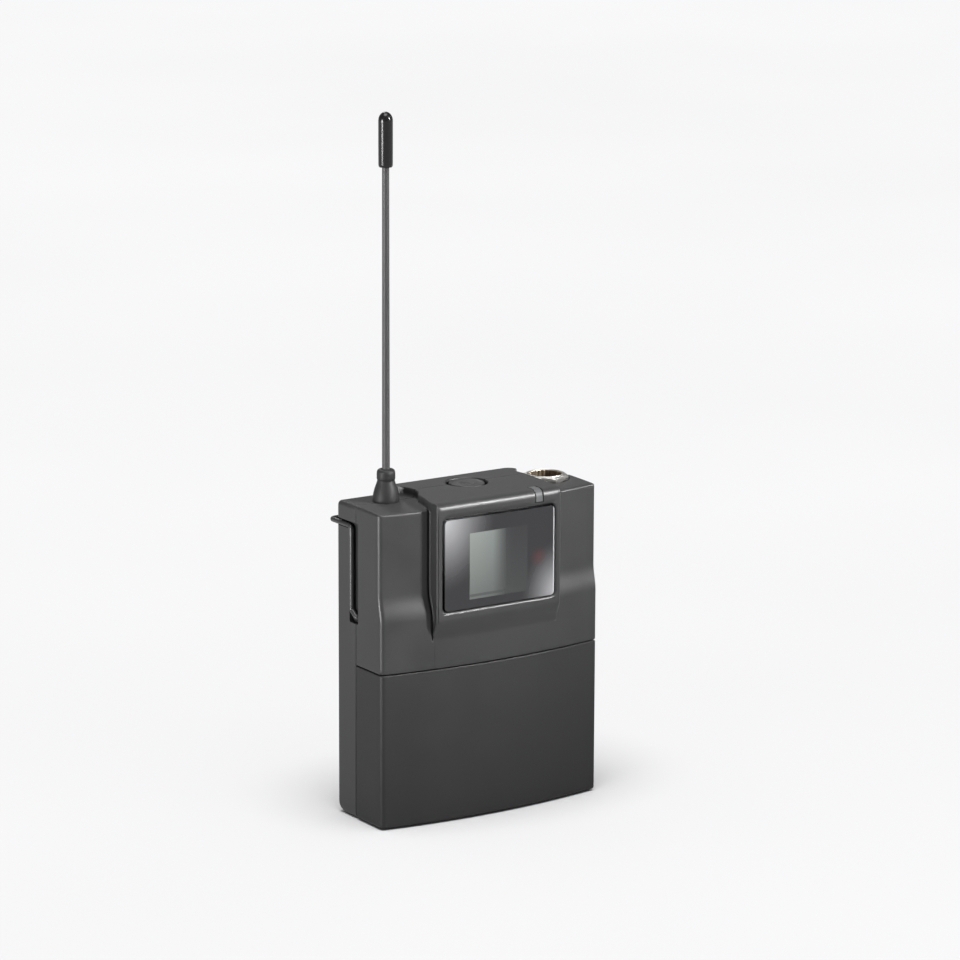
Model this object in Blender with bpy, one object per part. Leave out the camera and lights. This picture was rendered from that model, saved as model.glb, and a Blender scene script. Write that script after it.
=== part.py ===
"""Wireless bodypack transmitter: two housing shells, a sliding battery door, a sprung
power button, a wire belt clip, a whip antenna, a mini three-pin connector, and the
display, boards, cells and contacts inside.

Lengths in this file are millimetres; the mesh helpers turn them into metres.
Frame of the numbers: X to the right, -Y to the front (display side), Z up from the
bottom face, and Y = 0 in the plane where the front and rear shells meet.
"""
import math

import bmesh
import bpy
from mathutils import Vector

MM = 0.001
GAP = 0.3

# Overall body
WIDTH = 75.5
HEIGHT = 94.0
REAR_DEPTH = 10.25
SHOULDER_DEPTH = 13.0
LOWER_DEPTH = 14.2
BOW = 3.2
FRONT_CORNER = 0.8
REAR_CORNER = 1.2
FRONT_TOP_EDGE = 0.7
REAR_TOP_EDGE = 1.1
REAR_BOTTOM_EDGE = 3.0
DOOR_BOTTOM_EDGE = 1.0
DOOR_TOP = 46.5
SLOPE_LOW = 61.0
SLOPE_HIGH = 70.0
WALL = 2.0
SIDE_WALL = 3.0

# Raised centre block that carries the display and the button
CONSOLE_RIGHT = 21.9
CONSOLE_LEFT = -21.6
CONSOLE_LEFT_SEAM = -17.4
CONSOLE_LEFT_BEND = (-20.2, -6.0)
CONSOLE_DEPTH = 18.85
CONSOLE_TOP = 96.4
CONSOLE_EDGE = 2.2
CONSOLE_CORNER = 1.2
CONSOLE_ROOT = 55.5
CONSOLE_LOW = 61.5
CONSOLE_CAVITY_TOP = 92.6
CONSOLE_CAVITY_DEPTH = 15.9
CROWN_CORNER = 3.5
CROWN_DEPTH = REAR_DEPTH - 0.4

# Display window and what sits behind it
WINDOW_HALF = 19.5
WINDOW_LOW = 63.9
WINDOW_HIGH = 91.6
WINDOW_FRONT = 18.75
WINDOW_BACK = 17.45
WINDOW_CORNER = 1.5
VIEW_HALF = 17.0
VIEW_LOW = 66.0
VIEW_HIGH = 89.4
VIEW_CORNER = 1.0
IR_X = 13.8
IR_Z = 76.2
IR_RADIUS = 2.1
PIPE_X = 13.9
PIPE_WIDTH = 2.4
PIPE_LOW = 92.8
PIPE_BACK = 14.6
PIPE_LEG = 2.0
PIPE_FOOT = 91.0

# Power button
BUTTON_X = 0.8
WELL_RADIUS = 6.4
WELL_FLOOR = 94.0
CAP_RADIUS = 6.0
CAP_TOP = 95.9
CAP_BOTTOM = 95.1
STEM_RADIUS = 2.0
STEM_CLEARANCE = 0.4
STEM_BOTTOM = 91.6
PLUNGER_RADIUS = 1.5

# Connector, right shoulder
CONNECTOR_X = 28.8
CONNECTOR_Y = 0.0
TUBE_RADIUS = 5.3
SOCKET_RADIUS = 4.9
SHOULDER_RADIUS = 5.85
SHOULDER_HEIGHT = 2.0
NUT_FLATS = 12.0
NUT_TURN = -37.0
NUT_TOP = 95.7
TUBE_TOP = 95.9
TUBE_BOTTOM = 80.0
INSERT_TOP = 86.0
PIN_TOP = 91.4
PIN_CIRCLE = 2.3

# Antenna, left shoulder
ANTENNA_X = -26.9
ANTENNA_Y = 0.5
WHIP_RADIUS = 1.1
COLLAR_RADIUS = 2.65
NECK_RADIUS = 2.3
BOOT_RADIUS = 3.8
COLLAR_LOW = 100.5
COLLAR_TOP = 104.3
TIP_RADIUS = 2.1
TIP_BORE = 13.0
TIP_LOW = 192.5
TIP_TOP = 208.5
FERRULE_RADIUS = 3.5

# Belt clip wire
WIRE_RADIUS = 0.75
WIRE_BEND = 1.5
PIVOT_Z = 60.6
LEG_X = 37.2
LEG_Y = 2.0
CROSS_Y = 14.2
CROSS_Z = 87.7
LOOP_HALF = 16.0
LOOP_PINCH_Y = 11.4
LOOP_PINCH_Z = 34.0
LOOP_TIP_Y = 13.2
LOOP_TIP_Z = 25.0
CHANNEL_FLOOR = 36.1
CHANNEL_FRONT = -1.5
CHANNEL_BACK = 3.2
CHANNEL_TOP = 89.3
EXIT_LOW = CROSS_Z - 1.0
CHANNEL_LOW = PIVOT_Z - 1.6

# Battery bay: two AA cells lying across, one above the other
CELL_RADIUS = 7.25
CELL_BODY = 49.5
NUB_RADIUS = 2.75
NUB_LENGTH = 1.0
CELL_Y = -2.0
SPRING_SMALL = 2.4
SPRING_LARGE = 4.8
SPRING_WIRE = 0.3
CELL_LEVELS = (16.0, 32.6)
BAY_HALF = 28.5
BAY_RADIUS = 7.6
CHASSIS_HALF = 33.9
CHASSIS_FRONT = -10.0
CHASSIS_BACK = 7.3
CHASSIS_LOW = 2.6
CHASSIS_HIGH = 44.0
RAIL_Y = -4.0
RAIL_HALF = 0.8
RAIL_TIP = 33.2
RAIL_LOW = 34.0
RAIL_HIGH = 44.0

# Screws, the posts they go into and the holes around them
BOSS_RADIUS = 2.8
BOSS_HOLE = 1.3
BOSS_HEAD = 2.5
SCREW_RADIUS = 1.0
SCREW_HEAD = 2.2
SCREW_END = -7.0
TRAY_BOSS_RADIUS = 1.9
TRAY_HOLE = 1.1
TRAY_HEAD = 2.1
TRAY_SCREW_RADIUS = 0.8
TRAY_SCREW_HEAD = 1.8
HOUSING_SCREWS = ((-30.5, 51.5), (30.5, 51.5), (-30.5, 75.0), (30.5, 75.0))
CHASSIS_SCREWS = ((-31.2, 24.3), (31.2, 24.3))

# The frame's origin is the middle of the whole object's footprint, so the plane between
# the shells lies half the difference of the front and rear reaches behind it.
SEAM_Y = (CONSOLE_DEPTH - (CROSS_Y + WIRE_RADIUS)) / 2

ROUND = 32
NUT_CORNER = math.cos(math.radians(30))

COLOURS = {
    "case_plastic": ((0.10, 0.10, 0.105), 0.55, 0.0),
    "door_plastic": ((0.075, 0.075, 0.08), 0.55, 0.0),
    "chassis_plastic": ((0.03, 0.03, 0.032), 0.6, 0.0),
    "window_gloss": ((0.01, 0.01, 0.012), 0.08, 0.0),
    "lcd_glass": ((0.22, 0.25, 0.22), 0.25, 0.0),
    "ir_red": ((0.55, 0.03, 0.03), 0.2, 0.0),
    "clear_plastic": ((0.6, 0.6, 0.6), 0.25, 0.0),
    "button_plastic": ((0.07, 0.07, 0.075), 0.5, 0.0),
    "nickel": ((0.75, 0.72, 0.66), 0.25, 1.0),
    "gold_contact": ((0.83, 0.62, 0.28), 0.25, 1.0),
    "steel": ((0.45, 0.45, 0.46), 0.35, 1.0),
    "clip_wire": ((0.09, 0.09, 0.095), 0.35, 0.0),
    "whip_rubber": ((0.06, 0.06, 0.065), 0.6, 0.0),
    "tip_rubber": ((0.02, 0.02, 0.022), 0.35, 0.0),
    "board_green": ((0.04, 0.16, 0.08), 0.45, 0.0),
    "insulator": ((0.02, 0.02, 0.02), 0.5, 0.0),
    "cell_wrap": ((0.12, 0.12, 0.13), 0.3, 0.0),
}


def clear_scene():
    for obj in list(bpy.context.scene.objects):
        bpy.data.objects.remove(obj, do_unlink=True)


def make_material(name):
    colour, roughness, metallic = COLOURS[name]
    material = bpy.data.materials.new(name)
    material.use_nodes = True
    shader = material.node_tree.nodes["Principled BSDF"]
    shader.inputs["Base Color"].default_value = (*colour, 1.0)
    shader.inputs["Roughness"].default_value = roughness
    shader.inputs["Metallic"].default_value = metallic
    return material


clear_scene()
MATERIALS = {name: make_material(name) for name in COLOURS}
ASSEMBLY = bpy.data.objects.new("assembly", None)
ASSEMBLY.location = (0.0, SEAM_Y * MM, 0.0)
bpy.context.scene.collection.objects.link(ASSEMBLY)


# ---------------------------------------------------------------- mesh helpers
def make_object(name, bm, material=None, origin=(0.0, 0.0, 0.0)):
    """Turn a bmesh in millimetres into an object whose origin lies at `origin`."""
    bmesh.ops.recalc_face_normals(bm, faces=bm.faces)
    bmesh.ops.translate(bm, verts=bm.verts, vec=-Vector(origin))
    bmesh.ops.scale(bm, verts=bm.verts, vec=(MM, MM, MM))
    mesh = bpy.data.meshes.new(name)
    bm.to_mesh(mesh)
    bm.free()
    mesh.shade_smooth()
    mesh.set_sharp_from_angle(angle=math.radians(35.0))
    obj = bpy.data.objects.new(name, mesh)
    obj.location = Vector(origin) * MM
    obj.parent = ASSEMBLY
    bpy.context.scene.collection.objects.link(obj)
    if material:
        mesh.materials.append(MATERIALS[material])
    else:
        obj.hide_render = True
        obj.display_type = "WIRE"
    return obj


def loft(rings):
    """A closed skin through rings of equal point count, capped at both ends."""
    bm = bmesh.new()
    loops = [[bm.verts.new(point) for point in ring] for ring in rings]
    count = len(rings[0])
    for low, high in zip(loops, loops[1:]):
        for i in range(count):
            j = (i + 1) % count
            bm.faces.new((low[i], low[j], high[j], high[i]))
    bm.faces.new(loops[0])
    bm.faces.new(loops[-1])
    return bm


def box(name, low, high, material=None, origin=(0.0, 0.0, 0.0)):
    corners = [(low[0], low[1]), (high[0], low[1]), (high[0], high[1]), (low[0], high[1])]
    rings = [[(x, y, z) for x, y in corners] for z in (low[2], high[2])]
    return make_object(name, loft(rings), material, origin)


def place(axis, along, u, v):
    """A point `along` the axis, with u and v across it."""
    return {"X": (along, u, v), "Y": (u, along, v), "Z": (u, v, along)}[axis]


def prism(name, outline, axis, low, high, material=None, origin=(0.0, 0.0, 0.0)):
    rings = [[place(axis, along, u, v) for u, v in outline] for along in (low, high)]
    return make_object(name, loft(rings), material, origin)


def circle(centre, radius, count=ROUND):
    angles = [2 * math.pi * i / count for i in range(count)]
    return [(centre[0] + radius * math.cos(a), centre[1] + radius * math.sin(a)) for a in angles]


def rod(name, axis, centre, radius, low, high, material=None, count=ROUND, origin=(0.0, 0.0, 0.0)):
    return prism(name, circle(centre, radius, count), axis, low, high, material, origin)


def turned(name, profile, centre, material, count=ROUND, origin=(0.0, 0.0, 0.0), axis="Z"):
    """A solid of revolution. The profile is a list of (radius, along); when it starts and
    ends on the axis the solid is full, otherwise its last point joins its first."""
    full = profile[0][0] == 0 and profile[-1][0] == 0
    bm = bmesh.new()
    rings = []
    for radius, along in profile:
        if radius == 0:
            rings.append([bm.verts.new(place(axis, along, *centre))] * count)
        else:
            rings.append([bm.verts.new(place(axis, along, u, v)) for u, v in circle(centre, radius, count)])
    pairs = list(zip(rings, rings[1:]))
    if not full:
        pairs.append((rings[-1], rings[0]))
    for low, high in pairs:
        for i in range(count):
            j = (i + 1) % count
            corners = list(dict.fromkeys((low[i], low[j], high[j], high[i])))
            bm.faces.new(corners)
    return make_object(name, bm, material, origin)


def sweep(name, path, radius, material, sides=8, origin=(0.0, 0.0, 0.0)):
    """A round wire along a list of points, with flat ends."""
    points = [Vector(p) for p in path]
    tangents = [(b - a).normalized() for a, b in zip(points, points[1:])]
    tangents = [tangents[0]] + [(a + b).normalized() for a, b in zip(tangents, tangents[1:])] + [tangents[-1]]
    side = tangents[0].orthogonal().normalized()
    rings = []
    for point, tangent in zip(points, tangents):
        side = (side - tangent * side.dot(tangent)).normalized()
        other = tangent.cross(side)
        angles = [2 * math.pi * i / sides for i in range(sides)]
        rings.append([point + radius * (side * math.cos(a) + other * math.sin(a)) for a in angles])
    return make_object(name, loft(rings), material, origin)


def rounded_path(corners, radius, steps=5):
    """Straight runs joined by arcs of one bend radius, or as much of it as fits."""
    points = [Vector(corners[0])]
    for before, here, after in zip(corners, corners[1:], corners[2:]):
        here = Vector(here)
        back = (Vector(before) - here)
        ahead = (Vector(after) - here)
        half = back.angle(ahead) / 2
        reach = min(radius / math.tan(half), 0.49 * back.length, 0.49 * ahead.length)
        start = here + back.normalized() * reach
        finish = here + ahead.normalized() * reach
        centre = here + (back.normalized() + ahead.normalized()).normalized() * reach / math.cos(half)
        arm_a, arm_b = start - centre, finish - centre
        bend = arm_a.length
        points += [centre + bend * arm_a.slerp(arm_b, i / steps) for i in range(steps + 1)]
    return points + [Vector(corners[-1])]


def boolean(target, tool, operation):
    modifier = target.modifiers.new(f"{operation.lower()} {tool.name}", "BOOLEAN")
    modifier.operation = operation
    modifier.solver = "EXACT"
    modifier.object = tool


def cut(target, *tools):
    for tool in tools:
        boolean(target, tool, "DIFFERENCE")


def join(target, *tools):
    for tool in tools:
        boolean(target, tool, "UNION")


# ---------------------------------------------------------------- outlines in plan
def arc(centre, radius, start, end, steps=4):
    angles = [math.radians(start + (end - start) * i / steps) for i in range(steps + 1)]
    return [(centre[0] + radius * math.cos(a), centre[1] + radius * math.sin(a)) for a in angles]


def front_outline(half, depth, back, steps=16):
    """Flat sides and a gently bowed front, seen from above, open side at `back`."""
    reach = half - FRONT_CORNER
    left = arc((-reach, FRONT_CORNER - depth), FRONT_CORNER, 180, 270)
    right = arc((reach, FRONT_CORNER - depth), FRONT_CORNER, 270, 360)
    xs = [reach * (2 * i / steps - 1) for i in range(1, steps)]
    front = [(x, -depth - BOW * (1 - (x / reach) ** 2)) for x in xs]
    return [(-half, back)] + left + front + right + [(half, back)]


def rear_outline(half, depth, front):
    """Flat sides and a flat back with rounded corners, seen from above."""
    right = arc((half - REAR_CORNER, depth - REAR_CORNER), REAR_CORNER, 0, 90)
    left = arc((REAR_CORNER - half, depth - REAR_CORNER), REAR_CORNER, 90, 180)
    return [(half, front)] + right + left + [(-half, front)]


def console_front_outline(depth, back, inset):
    """The centre block's front part from above. Its left wall leans in towards the antenna."""
    left, right = CONSOLE_LEFT + inset, CONSOLE_RIGHT - inset
    corner, face = CONSOLE_CORNER, inset - depth
    return ([(CONSOLE_LEFT_SEAM + inset, back), (CONSOLE_LEFT_BEND[0] + inset, CONSOLE_LEFT_BEND[1])]
            + arc((left + corner, face + corner), corner, 180, 270)
            + arc((right - corner, face + corner), corner, 270, 360) + [(right, back)])


def console_rear_outline(front, inset):
    """The centre block's rear part from above, with rounded rear corners."""
    left, right = CONSOLE_LEFT_SEAM + inset, CONSOLE_RIGHT - inset
    corner, face = CROWN_CORNER, CROWN_DEPTH - inset
    return ([(right, front)] + arc((right - corner, face - corner), corner, 0, 90)
            + arc((left + corner, face - corner), corner, 90, 180) + [(left, front)])


def rounded_rectangle(x_low, x_high, z_low, z_high, corner):
    return (arc((x_low + corner, z_low + corner), corner, 180, 270)
            + arc((x_high - corner, z_low + corner), corner, 270, 360)
            + arc((x_high - corner, z_high - corner), corner, 0, 90)
            + arc((x_low + corner, z_high - corner), corner, 90, 180))


def edge_steps(radius, steps=3):
    """(distance from the face, inset) pairs down a rounded edge, outermost first."""
    angles = [math.pi / 2 * i / steps for i in range(steps + 1)]
    return [(radius * (1 - math.sin(a)), radius * (1 - math.cos(a))) for a in reversed(angles)]


def at_height(outline, z):
    return [(x, y, z) for x, y in outline]


# ---------------------------------------------------------------- shared cutters
def shell_cutters():
    """Openings that the front and rear shells share across their parting plane."""
    top = CONSOLE_TOP + 5
    tools = [
        rod("cut_button_well", "Z", (BUTTON_X, 0), WELL_RADIUS, WELL_FLOOR, top),
        rod("cut_button_stem", "Z", (BUTTON_X, 0), STEM_RADIUS + STEM_CLEARANCE, 85, top),
        rod("cut_connector_face", "Z", (CONNECTOR_X, CONNECTOR_Y), NUT_FLATS / 2 / NUT_CORNER + GAP,
            HEIGHT - GAP, top, count=48),
        rod("cut_connector_hole", "Z", (CONNECTOR_X, CONNECTOR_Y), TUBE_RADIUS + GAP, 90, top),
        rod("cut_antenna_hole", "Z", (ANTENNA_X, ANTENNA_Y), NECK_RADIUS + GAP, 90, top),
        rod("cut_clip_pivot", "X", (0, PIVOT_Z), WIRE_RADIUS + GAP, -WIDTH, WIDTH, count=16),
    ]
    for side, sign in (("left", -1), ("right", 1)):
        edges = sorted((sign * CHANNEL_FLOOR, sign * WIDTH))
        low = (edges[0], CHANNEL_FRONT, CHANNEL_LOW)
        tools.append(box(f"cut_clip_channel_{side}", low, (edges[1], CHANNEL_BACK, CHANNEL_TOP)))
    return tools


def build_rear_housing(shared):
    half, front = WIDTH / 2, GAP / 2
    bottom = [at_height(rear_outline(half - inset * 0.3, REAR_DEPTH - inset, front), up)
              for up, inset in edge_steps(REAR_BOTTOM_EDGE)]
    top = [at_height(rear_outline(half - inset, REAR_DEPTH - inset, front), HEIGHT - down)
           for down, inset in reversed(edge_steps(REAR_TOP_EDGE))]
    shell = make_object("rear_housing", loft(bottom + top), "case_plastic")
    crown_rings = [at_height(console_rear_outline(front, inset), CONSOLE_TOP - down)
                   for down, inset in reversed(edge_steps(CONSOLE_EDGE))]
    crown_base = at_height(console_rear_outline(front, 0), 90)
    join(shell, make_object("join_rear_crown", loft([crown_base] + crown_rings)))
    inner = half - SIDE_WALL
    cut(shell, box("cut_rear_cavity", (-inner, -5, WALL), (inner, REAR_DEPTH - WALL, HEIGHT - WALL)),
        box("cut_rear_crown", (CONSOLE_LEFT_SEAM + WALL, -5, 80),
            (CONSOLE_RIGHT - WALL, CROWN_DEPTH - WALL, CONSOLE_CAVITY_TOP)))
    for i, (x, z) in enumerate(HOUSING_SCREWS):
        join(shell, rod(f"join_rear_boss_{i}", "Y", (x, z), BOSS_RADIUS, front, REAR_DEPTH - 1, count=20))
        cut(shell, rod(f"cut_rear_screw_{i}", "Y", (x, z), BOSS_HOLE, -5, 20, count=16),
            rod(f"cut_rear_head_{i}", "Y", (x, z), BOSS_HEAD, REAR_DEPTH - 2.2, 20, count=20))
    for i, (x, z) in enumerate(CHASSIS_SCREWS):
        join(shell, rod(f"join_chassis_boss_{i}", "Y", (x, z), TRAY_BOSS_RADIUS, 3.0, REAR_DEPTH - 1,
                        count=16))
        cut(shell, rod(f"cut_chassis_pilot_{i}", "Y", (x, z), TRAY_HOLE, -5, REAR_DEPTH - 1.2, count=12))
    for side, sign in (("left", -1), ("right", 1)):
        edges = sorted((sign * CHANNEL_FLOOR, sign * WIDTH))
        cut(shell, box(f"cut_clip_exit_{side}", (edges[0], 2, EXIT_LOW), (edges[1], 20, CHANNEL_TOP)))
    cut(shell, *shared)
    return shell


def build_front_housing(shared):
    half, back = WIDTH / 2, -GAP / 2
    low = DOOR_TOP + GAP / 2
    rings = [at_height(front_outline(half, depth, back), z)
             for z, depth in ((low, LOWER_DEPTH), (SLOPE_LOW, LOWER_DEPTH), (SLOPE_HIGH, SHOULDER_DEPTH))]
    rings += [at_height(front_outline(half - inset, SHOULDER_DEPTH - inset, back), HEIGHT - down)
              for down, inset in reversed(edge_steps(FRONT_TOP_EDGE))]
    shell = make_object("front_housing", loft(rings), "case_plastic")
    console = [at_height(console_front_outline(depth, back, 0), z)
               for z, depth in ((CONSOLE_ROOT, LOWER_DEPTH), (CONSOLE_LOW, CONSOLE_DEPTH))]
    console += [at_height(console_front_outline(CONSOLE_DEPTH, back, inset), CONSOLE_TOP - down)
                for down, inset in reversed(edge_steps(CONSOLE_EDGE))]
    join(shell, make_object("join_console", loft(console)))
    inner = half - SIDE_WALL
    cavity = [at_height(front_outline(inner, depth - WALL, 5), z)
              for z, depth in ((40, LOWER_DEPTH), (SLOPE_LOW, LOWER_DEPTH), (SLOPE_HIGH, SHOULDER_DEPTH),
                               (HEIGHT - WALL, SHOULDER_DEPTH))]
    console_cavity = [(CONSOLE_LEFT_SEAM + WALL, 5), (CONSOLE_LEFT + WALL + 0.6, -CONSOLE_CAVITY_DEPTH),
                      (CONSOLE_RIGHT - WALL, -CONSOLE_CAVITY_DEPTH), (CONSOLE_RIGHT - WALL, 5)]
    cut(shell, make_object("cut_front_cavity", loft(cavity)),
        prism("cut_console_cavity", console_cavity, "Z", CONSOLE_LOW + 1, CONSOLE_CAVITY_TOP))
    for i, (x, z) in enumerate(HOUSING_SCREWS):
        join(shell, rod(f"join_front_boss_{i}", "Y", (x, z), BOSS_RADIUS, -SHOULDER_DEPTH, back, count=20))
        cut(shell, rod(f"cut_front_pilot_{i}", "Y", (x, z), BOSS_HOLE, SCREW_END - 2, 5, count=16))
    recess = rounded_rectangle(-WINDOW_HALF - GAP, WINDOW_HALF + GAP, WINDOW_LOW - GAP, WINDOW_HIGH + GAP,
                               WINDOW_CORNER + GAP)
    view = rounded_rectangle(-VIEW_HALF, VIEW_HALF, VIEW_LOW, VIEW_HIGH, VIEW_CORNER)
    cut(shell, prism("cut_window", recess, "Y", -30, GAP - WINDOW_BACK),
        prism("cut_view", view, "Y", -30, -10),
        prism("cut_pipe", pipe_outline(GAP), "X", PIPE_X - PIPE_WIDTH / 2 - GAP,
              PIPE_X + PIPE_WIDTH / 2 + GAP))
    cut(shell, *shared)
    return shell


def pipe_outline(grow):
    """Side view of the light guide: a strip over the console's top front edge, with a leg
    inside. `grow` widens it into the slot it sits in, and lets the slot run out in front."""
    out = 5.0 if grow else 0.0
    front, top = -CONSOLE_DEPTH - out, CONSOLE_TOP + out
    curve = (CONSOLE_EDGE - CONSOLE_DEPTH, CONSOLE_TOP - CONSOLE_EDGE)
    nose = [(front, top)] if grow else arc(curve, CONSOLE_EDGE, 180, 90)
    leg = -PIPE_BACK - PIPE_LEG - grow
    return ([(leg, PIPE_FOOT - grow), (leg, PIPE_LOW - grow), (front, PIPE_LOW - grow)] + nose
            + [(grow - PIPE_BACK, top), (grow - PIPE_BACK, PIPE_FOOT - grow)])


def build_battery_door():
    half, back = WIDTH / 2, -GAP / 2
    rings = [at_height(front_outline(half - inset, LOWER_DEPTH - inset, back), up)
             for up, inset in edge_steps(DOOR_BOTTOM_EDGE)]
    rings.append(at_height(front_outline(half, LOWER_DEPTH, back), DOOR_TOP - GAP / 2))
    door = make_object("battery_door", loft(rings), "door_plastic", origin=(0, 0, DOOR_TOP))
    cavity = [at_height(front_outline(half - WALL, LOWER_DEPTH - WALL, 5), z) for z in (WALL, DOOR_TOP + 5)]
    cut(door, make_object("cut_door_cavity", loft(cavity)))
    for side, sign in (("left", -1), ("right", 1)):
        edges = sorted((sign * RAIL_TIP, sign * (half - 1)))
        join(door, box(f"join_door_rail_{side}", (edges[0], RAIL_Y - RAIL_HALF, RAIL_LOW),
                       (edges[1], RAIL_Y + RAIL_HALF, RAIL_HIGH)))
    return door


def build_chassis():
    tray = box("battery_chassis", (-CHASSIS_HALF, CHASSIS_FRONT, CHASSIS_LOW),
               (CHASSIS_HALF, CHASSIS_BACK, CHASSIS_HIGH), "chassis_plastic")
    for name, z in zip(("lower", "upper"), CELL_LEVELS):
        cut(tray, box(f"cut_bay_{name}", (-BAY_HALF, CHASSIS_FRONT - 5, z - BAY_RADIUS),
                      (BAY_HALF, CELL_Y + BAY_RADIUS, z + BAY_RADIUS)))
    for side, sign in (("left", -1), ("right", 1)):
        edges = sorted((sign * (RAIL_TIP - 0.4), sign * (CHASSIS_HALF + 5)))
        cut(tray, box(f"cut_groove_{side}", (edges[0], RAIL_Y - RAIL_HALF - GAP, -10),
                      (edges[1], RAIL_Y + RAIL_HALF + GAP, 60)))
    for i, (x, z) in enumerate(CHASSIS_SCREWS):
        cut(tray, rod(f"cut_tray_boss_{i}", "Y", (x, z), TRAY_BOSS_RADIUS + GAP, 2.7, 20, count=16),
            rod(f"cut_tray_screw_{i}", "Y", (x, z), TRAY_HOLE, -20, 20, count=12),
            rod(f"cut_tray_head_{i}", "Y", (x, z), TRAY_HEAD, -20, CHASSIS_FRONT + 2.0, count=16))
    return tray


def build_display():
    outline = rounded_rectangle(-WINDOW_HALF, WINDOW_HALF, WINDOW_LOW, WINDOW_HIGH, WINDOW_CORNER)
    prism("display_window", outline, "Y", -WINDOW_FRONT, -WINDOW_BACK, "window_gloss")
    box("lcd_module", (-11.7, -15.6, 64.0), (11.4, -12.6, 89.0), "lcd_glass")
    box("display_board", (-18.5, -12.3, 60.0), (18.5, -11.1, 91.0), "board_green")
    rod("ir_filter", "Y", (IR_X, IR_Z), IR_RADIUS, -17.1, -15.5, "ir_red", count=24)
    box("ir_transceiver", (IR_X - 2.0, -15.2, IR_Z - 2.4), (IR_X + 2.0, -12.6, IR_Z + 2.4), "insulator")
    prism("light_pipe", pipe_outline(0.0), "X", PIPE_X - PIPE_WIDTH / 2, PIPE_X + PIPE_WIDTH / 2,
          "clear_plastic")
    box("status_led", (PIPE_X - 1.0, -15.5, 89.2), (PIPE_X + 1.0, -12.6, 90.7), "clear_plastic")


def build_button():
    origin = (BUTTON_X, 0, CAP_TOP)
    profile = [(0, STEM_BOTTOM), (STEM_RADIUS, STEM_BOTTOM), (STEM_RADIUS, CAP_BOTTOM),
               (CAP_RADIUS, CAP_BOTTOM), (CAP_RADIUS, CAP_TOP - 0.3), (CAP_RADIUS - 0.3, CAP_TOP),
               (4.6, CAP_TOP), (4.4, CAP_TOP + 0.3), (3.7, CAP_TOP + 0.3), (3.5, CAP_TOP), (0, CAP_TOP)]
    turned("power_button", profile, (BUTTON_X, 0), "button_plastic", origin=origin)
    rod("switch_plunger", "Z", (BUTTON_X, 0), PLUNGER_RADIUS, 89.4, STEM_BOTTOM - GAP, "steel", 16,
        (BUTTON_X, 0, STEM_BOTTOM))
    switch = box("tact_switch", (BUTTON_X - 3, -3, 86.4), (BUTTON_X + 3, 3, 90.2), "insulator")
    cut(switch, rod("cut_switch", "Z", (BUTTON_X, 0), PLUNGER_RADIUS + GAP, 88.2, 95, count=16))
    box("button_board", (BUTTON_X - 8, -4.2, 84.9), (BUTTON_X + 8, 4.2, 86.1), "board_green")


def build_connector():
    """A tube with an inner shoulder under the case's top wall, and a chamfered hexagon nut
    that clamps it from above."""
    centre = (CONNECTOR_X, CONNECTOR_Y)
    shoulder_top = HEIGHT - WALL - GAP
    shoulder_low = shoulder_top - SHOULDER_HEIGHT
    profile = [(SOCKET_RADIUS, TUBE_BOTTOM), (TUBE_RADIUS, TUBE_BOTTOM), (TUBE_RADIUS, shoulder_low),
               (SHOULDER_RADIUS, shoulder_low), (SHOULDER_RADIUS, shoulder_top), (TUBE_RADIUS, shoulder_top),
               (TUBE_RADIUS, TUBE_TOP - 0.15), (TUBE_RADIUS - 0.15, TUBE_TOP),
               (SOCKET_RADIUS + 0.15, TUBE_TOP), (SOCKET_RADIUS, TUBE_TOP - 0.15)]
    turned("connector_shell", profile, centre, "nickel")
    reach = NUT_FLATS / 2
    bore = TUBE_RADIUS + GAP
    profile = [(bore, HEIGHT), (reach / NUT_CORNER, HEIGHT), (reach / NUT_CORNER, HEIGHT + 0.9),
               (reach - 0.05, NUT_TOP - 0.1), (reach - 0.15, NUT_TOP), (bore, NUT_TOP)]
    nut = turned("connector_nut", profile, centre, "nickel", count=48)
    for i in range(6):
        angle = math.radians(NUT_TURN + 30 + 60 * i)
        along = Vector((math.cos(angle), math.sin(angle)))
        across = along.orthogonal()
        middle = Vector(centre)
        corners = [middle + along * far + across * wide
                   for far, wide in ((reach, -9), (reach + 3, -9), (reach + 3, 9), (reach, 9))]
        cut(nut, prism(f"cut_nut_flat_{i}", [tuple(c) for c in corners], "Z", HEIGHT - 1, NUT_TOP + 1))
    insert = rod("connector_insert", "Z", centre, SOCKET_RADIUS - GAP, 81.5, INSERT_TOP, "insulator")
    for i in range(3):
        angle = math.radians(90 + 120 * i)
        spot = (CONNECTOR_X + PIN_CIRCLE * math.cos(angle), CONNECTOR_Y + PIN_CIRCLE * math.sin(angle))
        profile = [(0, 78.5), (0.45, 78.5), (0.45, PIN_TOP - 0.4), (0.2, PIN_TOP), (0, PIN_TOP)]
        turned(f"connector_pin_{i + 1}", profile, spot, "gold_contact", count=12)
        cut(insert, rod(f"cut_pin_{i}", "Z", spot, 0.75, 70, 100, count=12))


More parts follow.
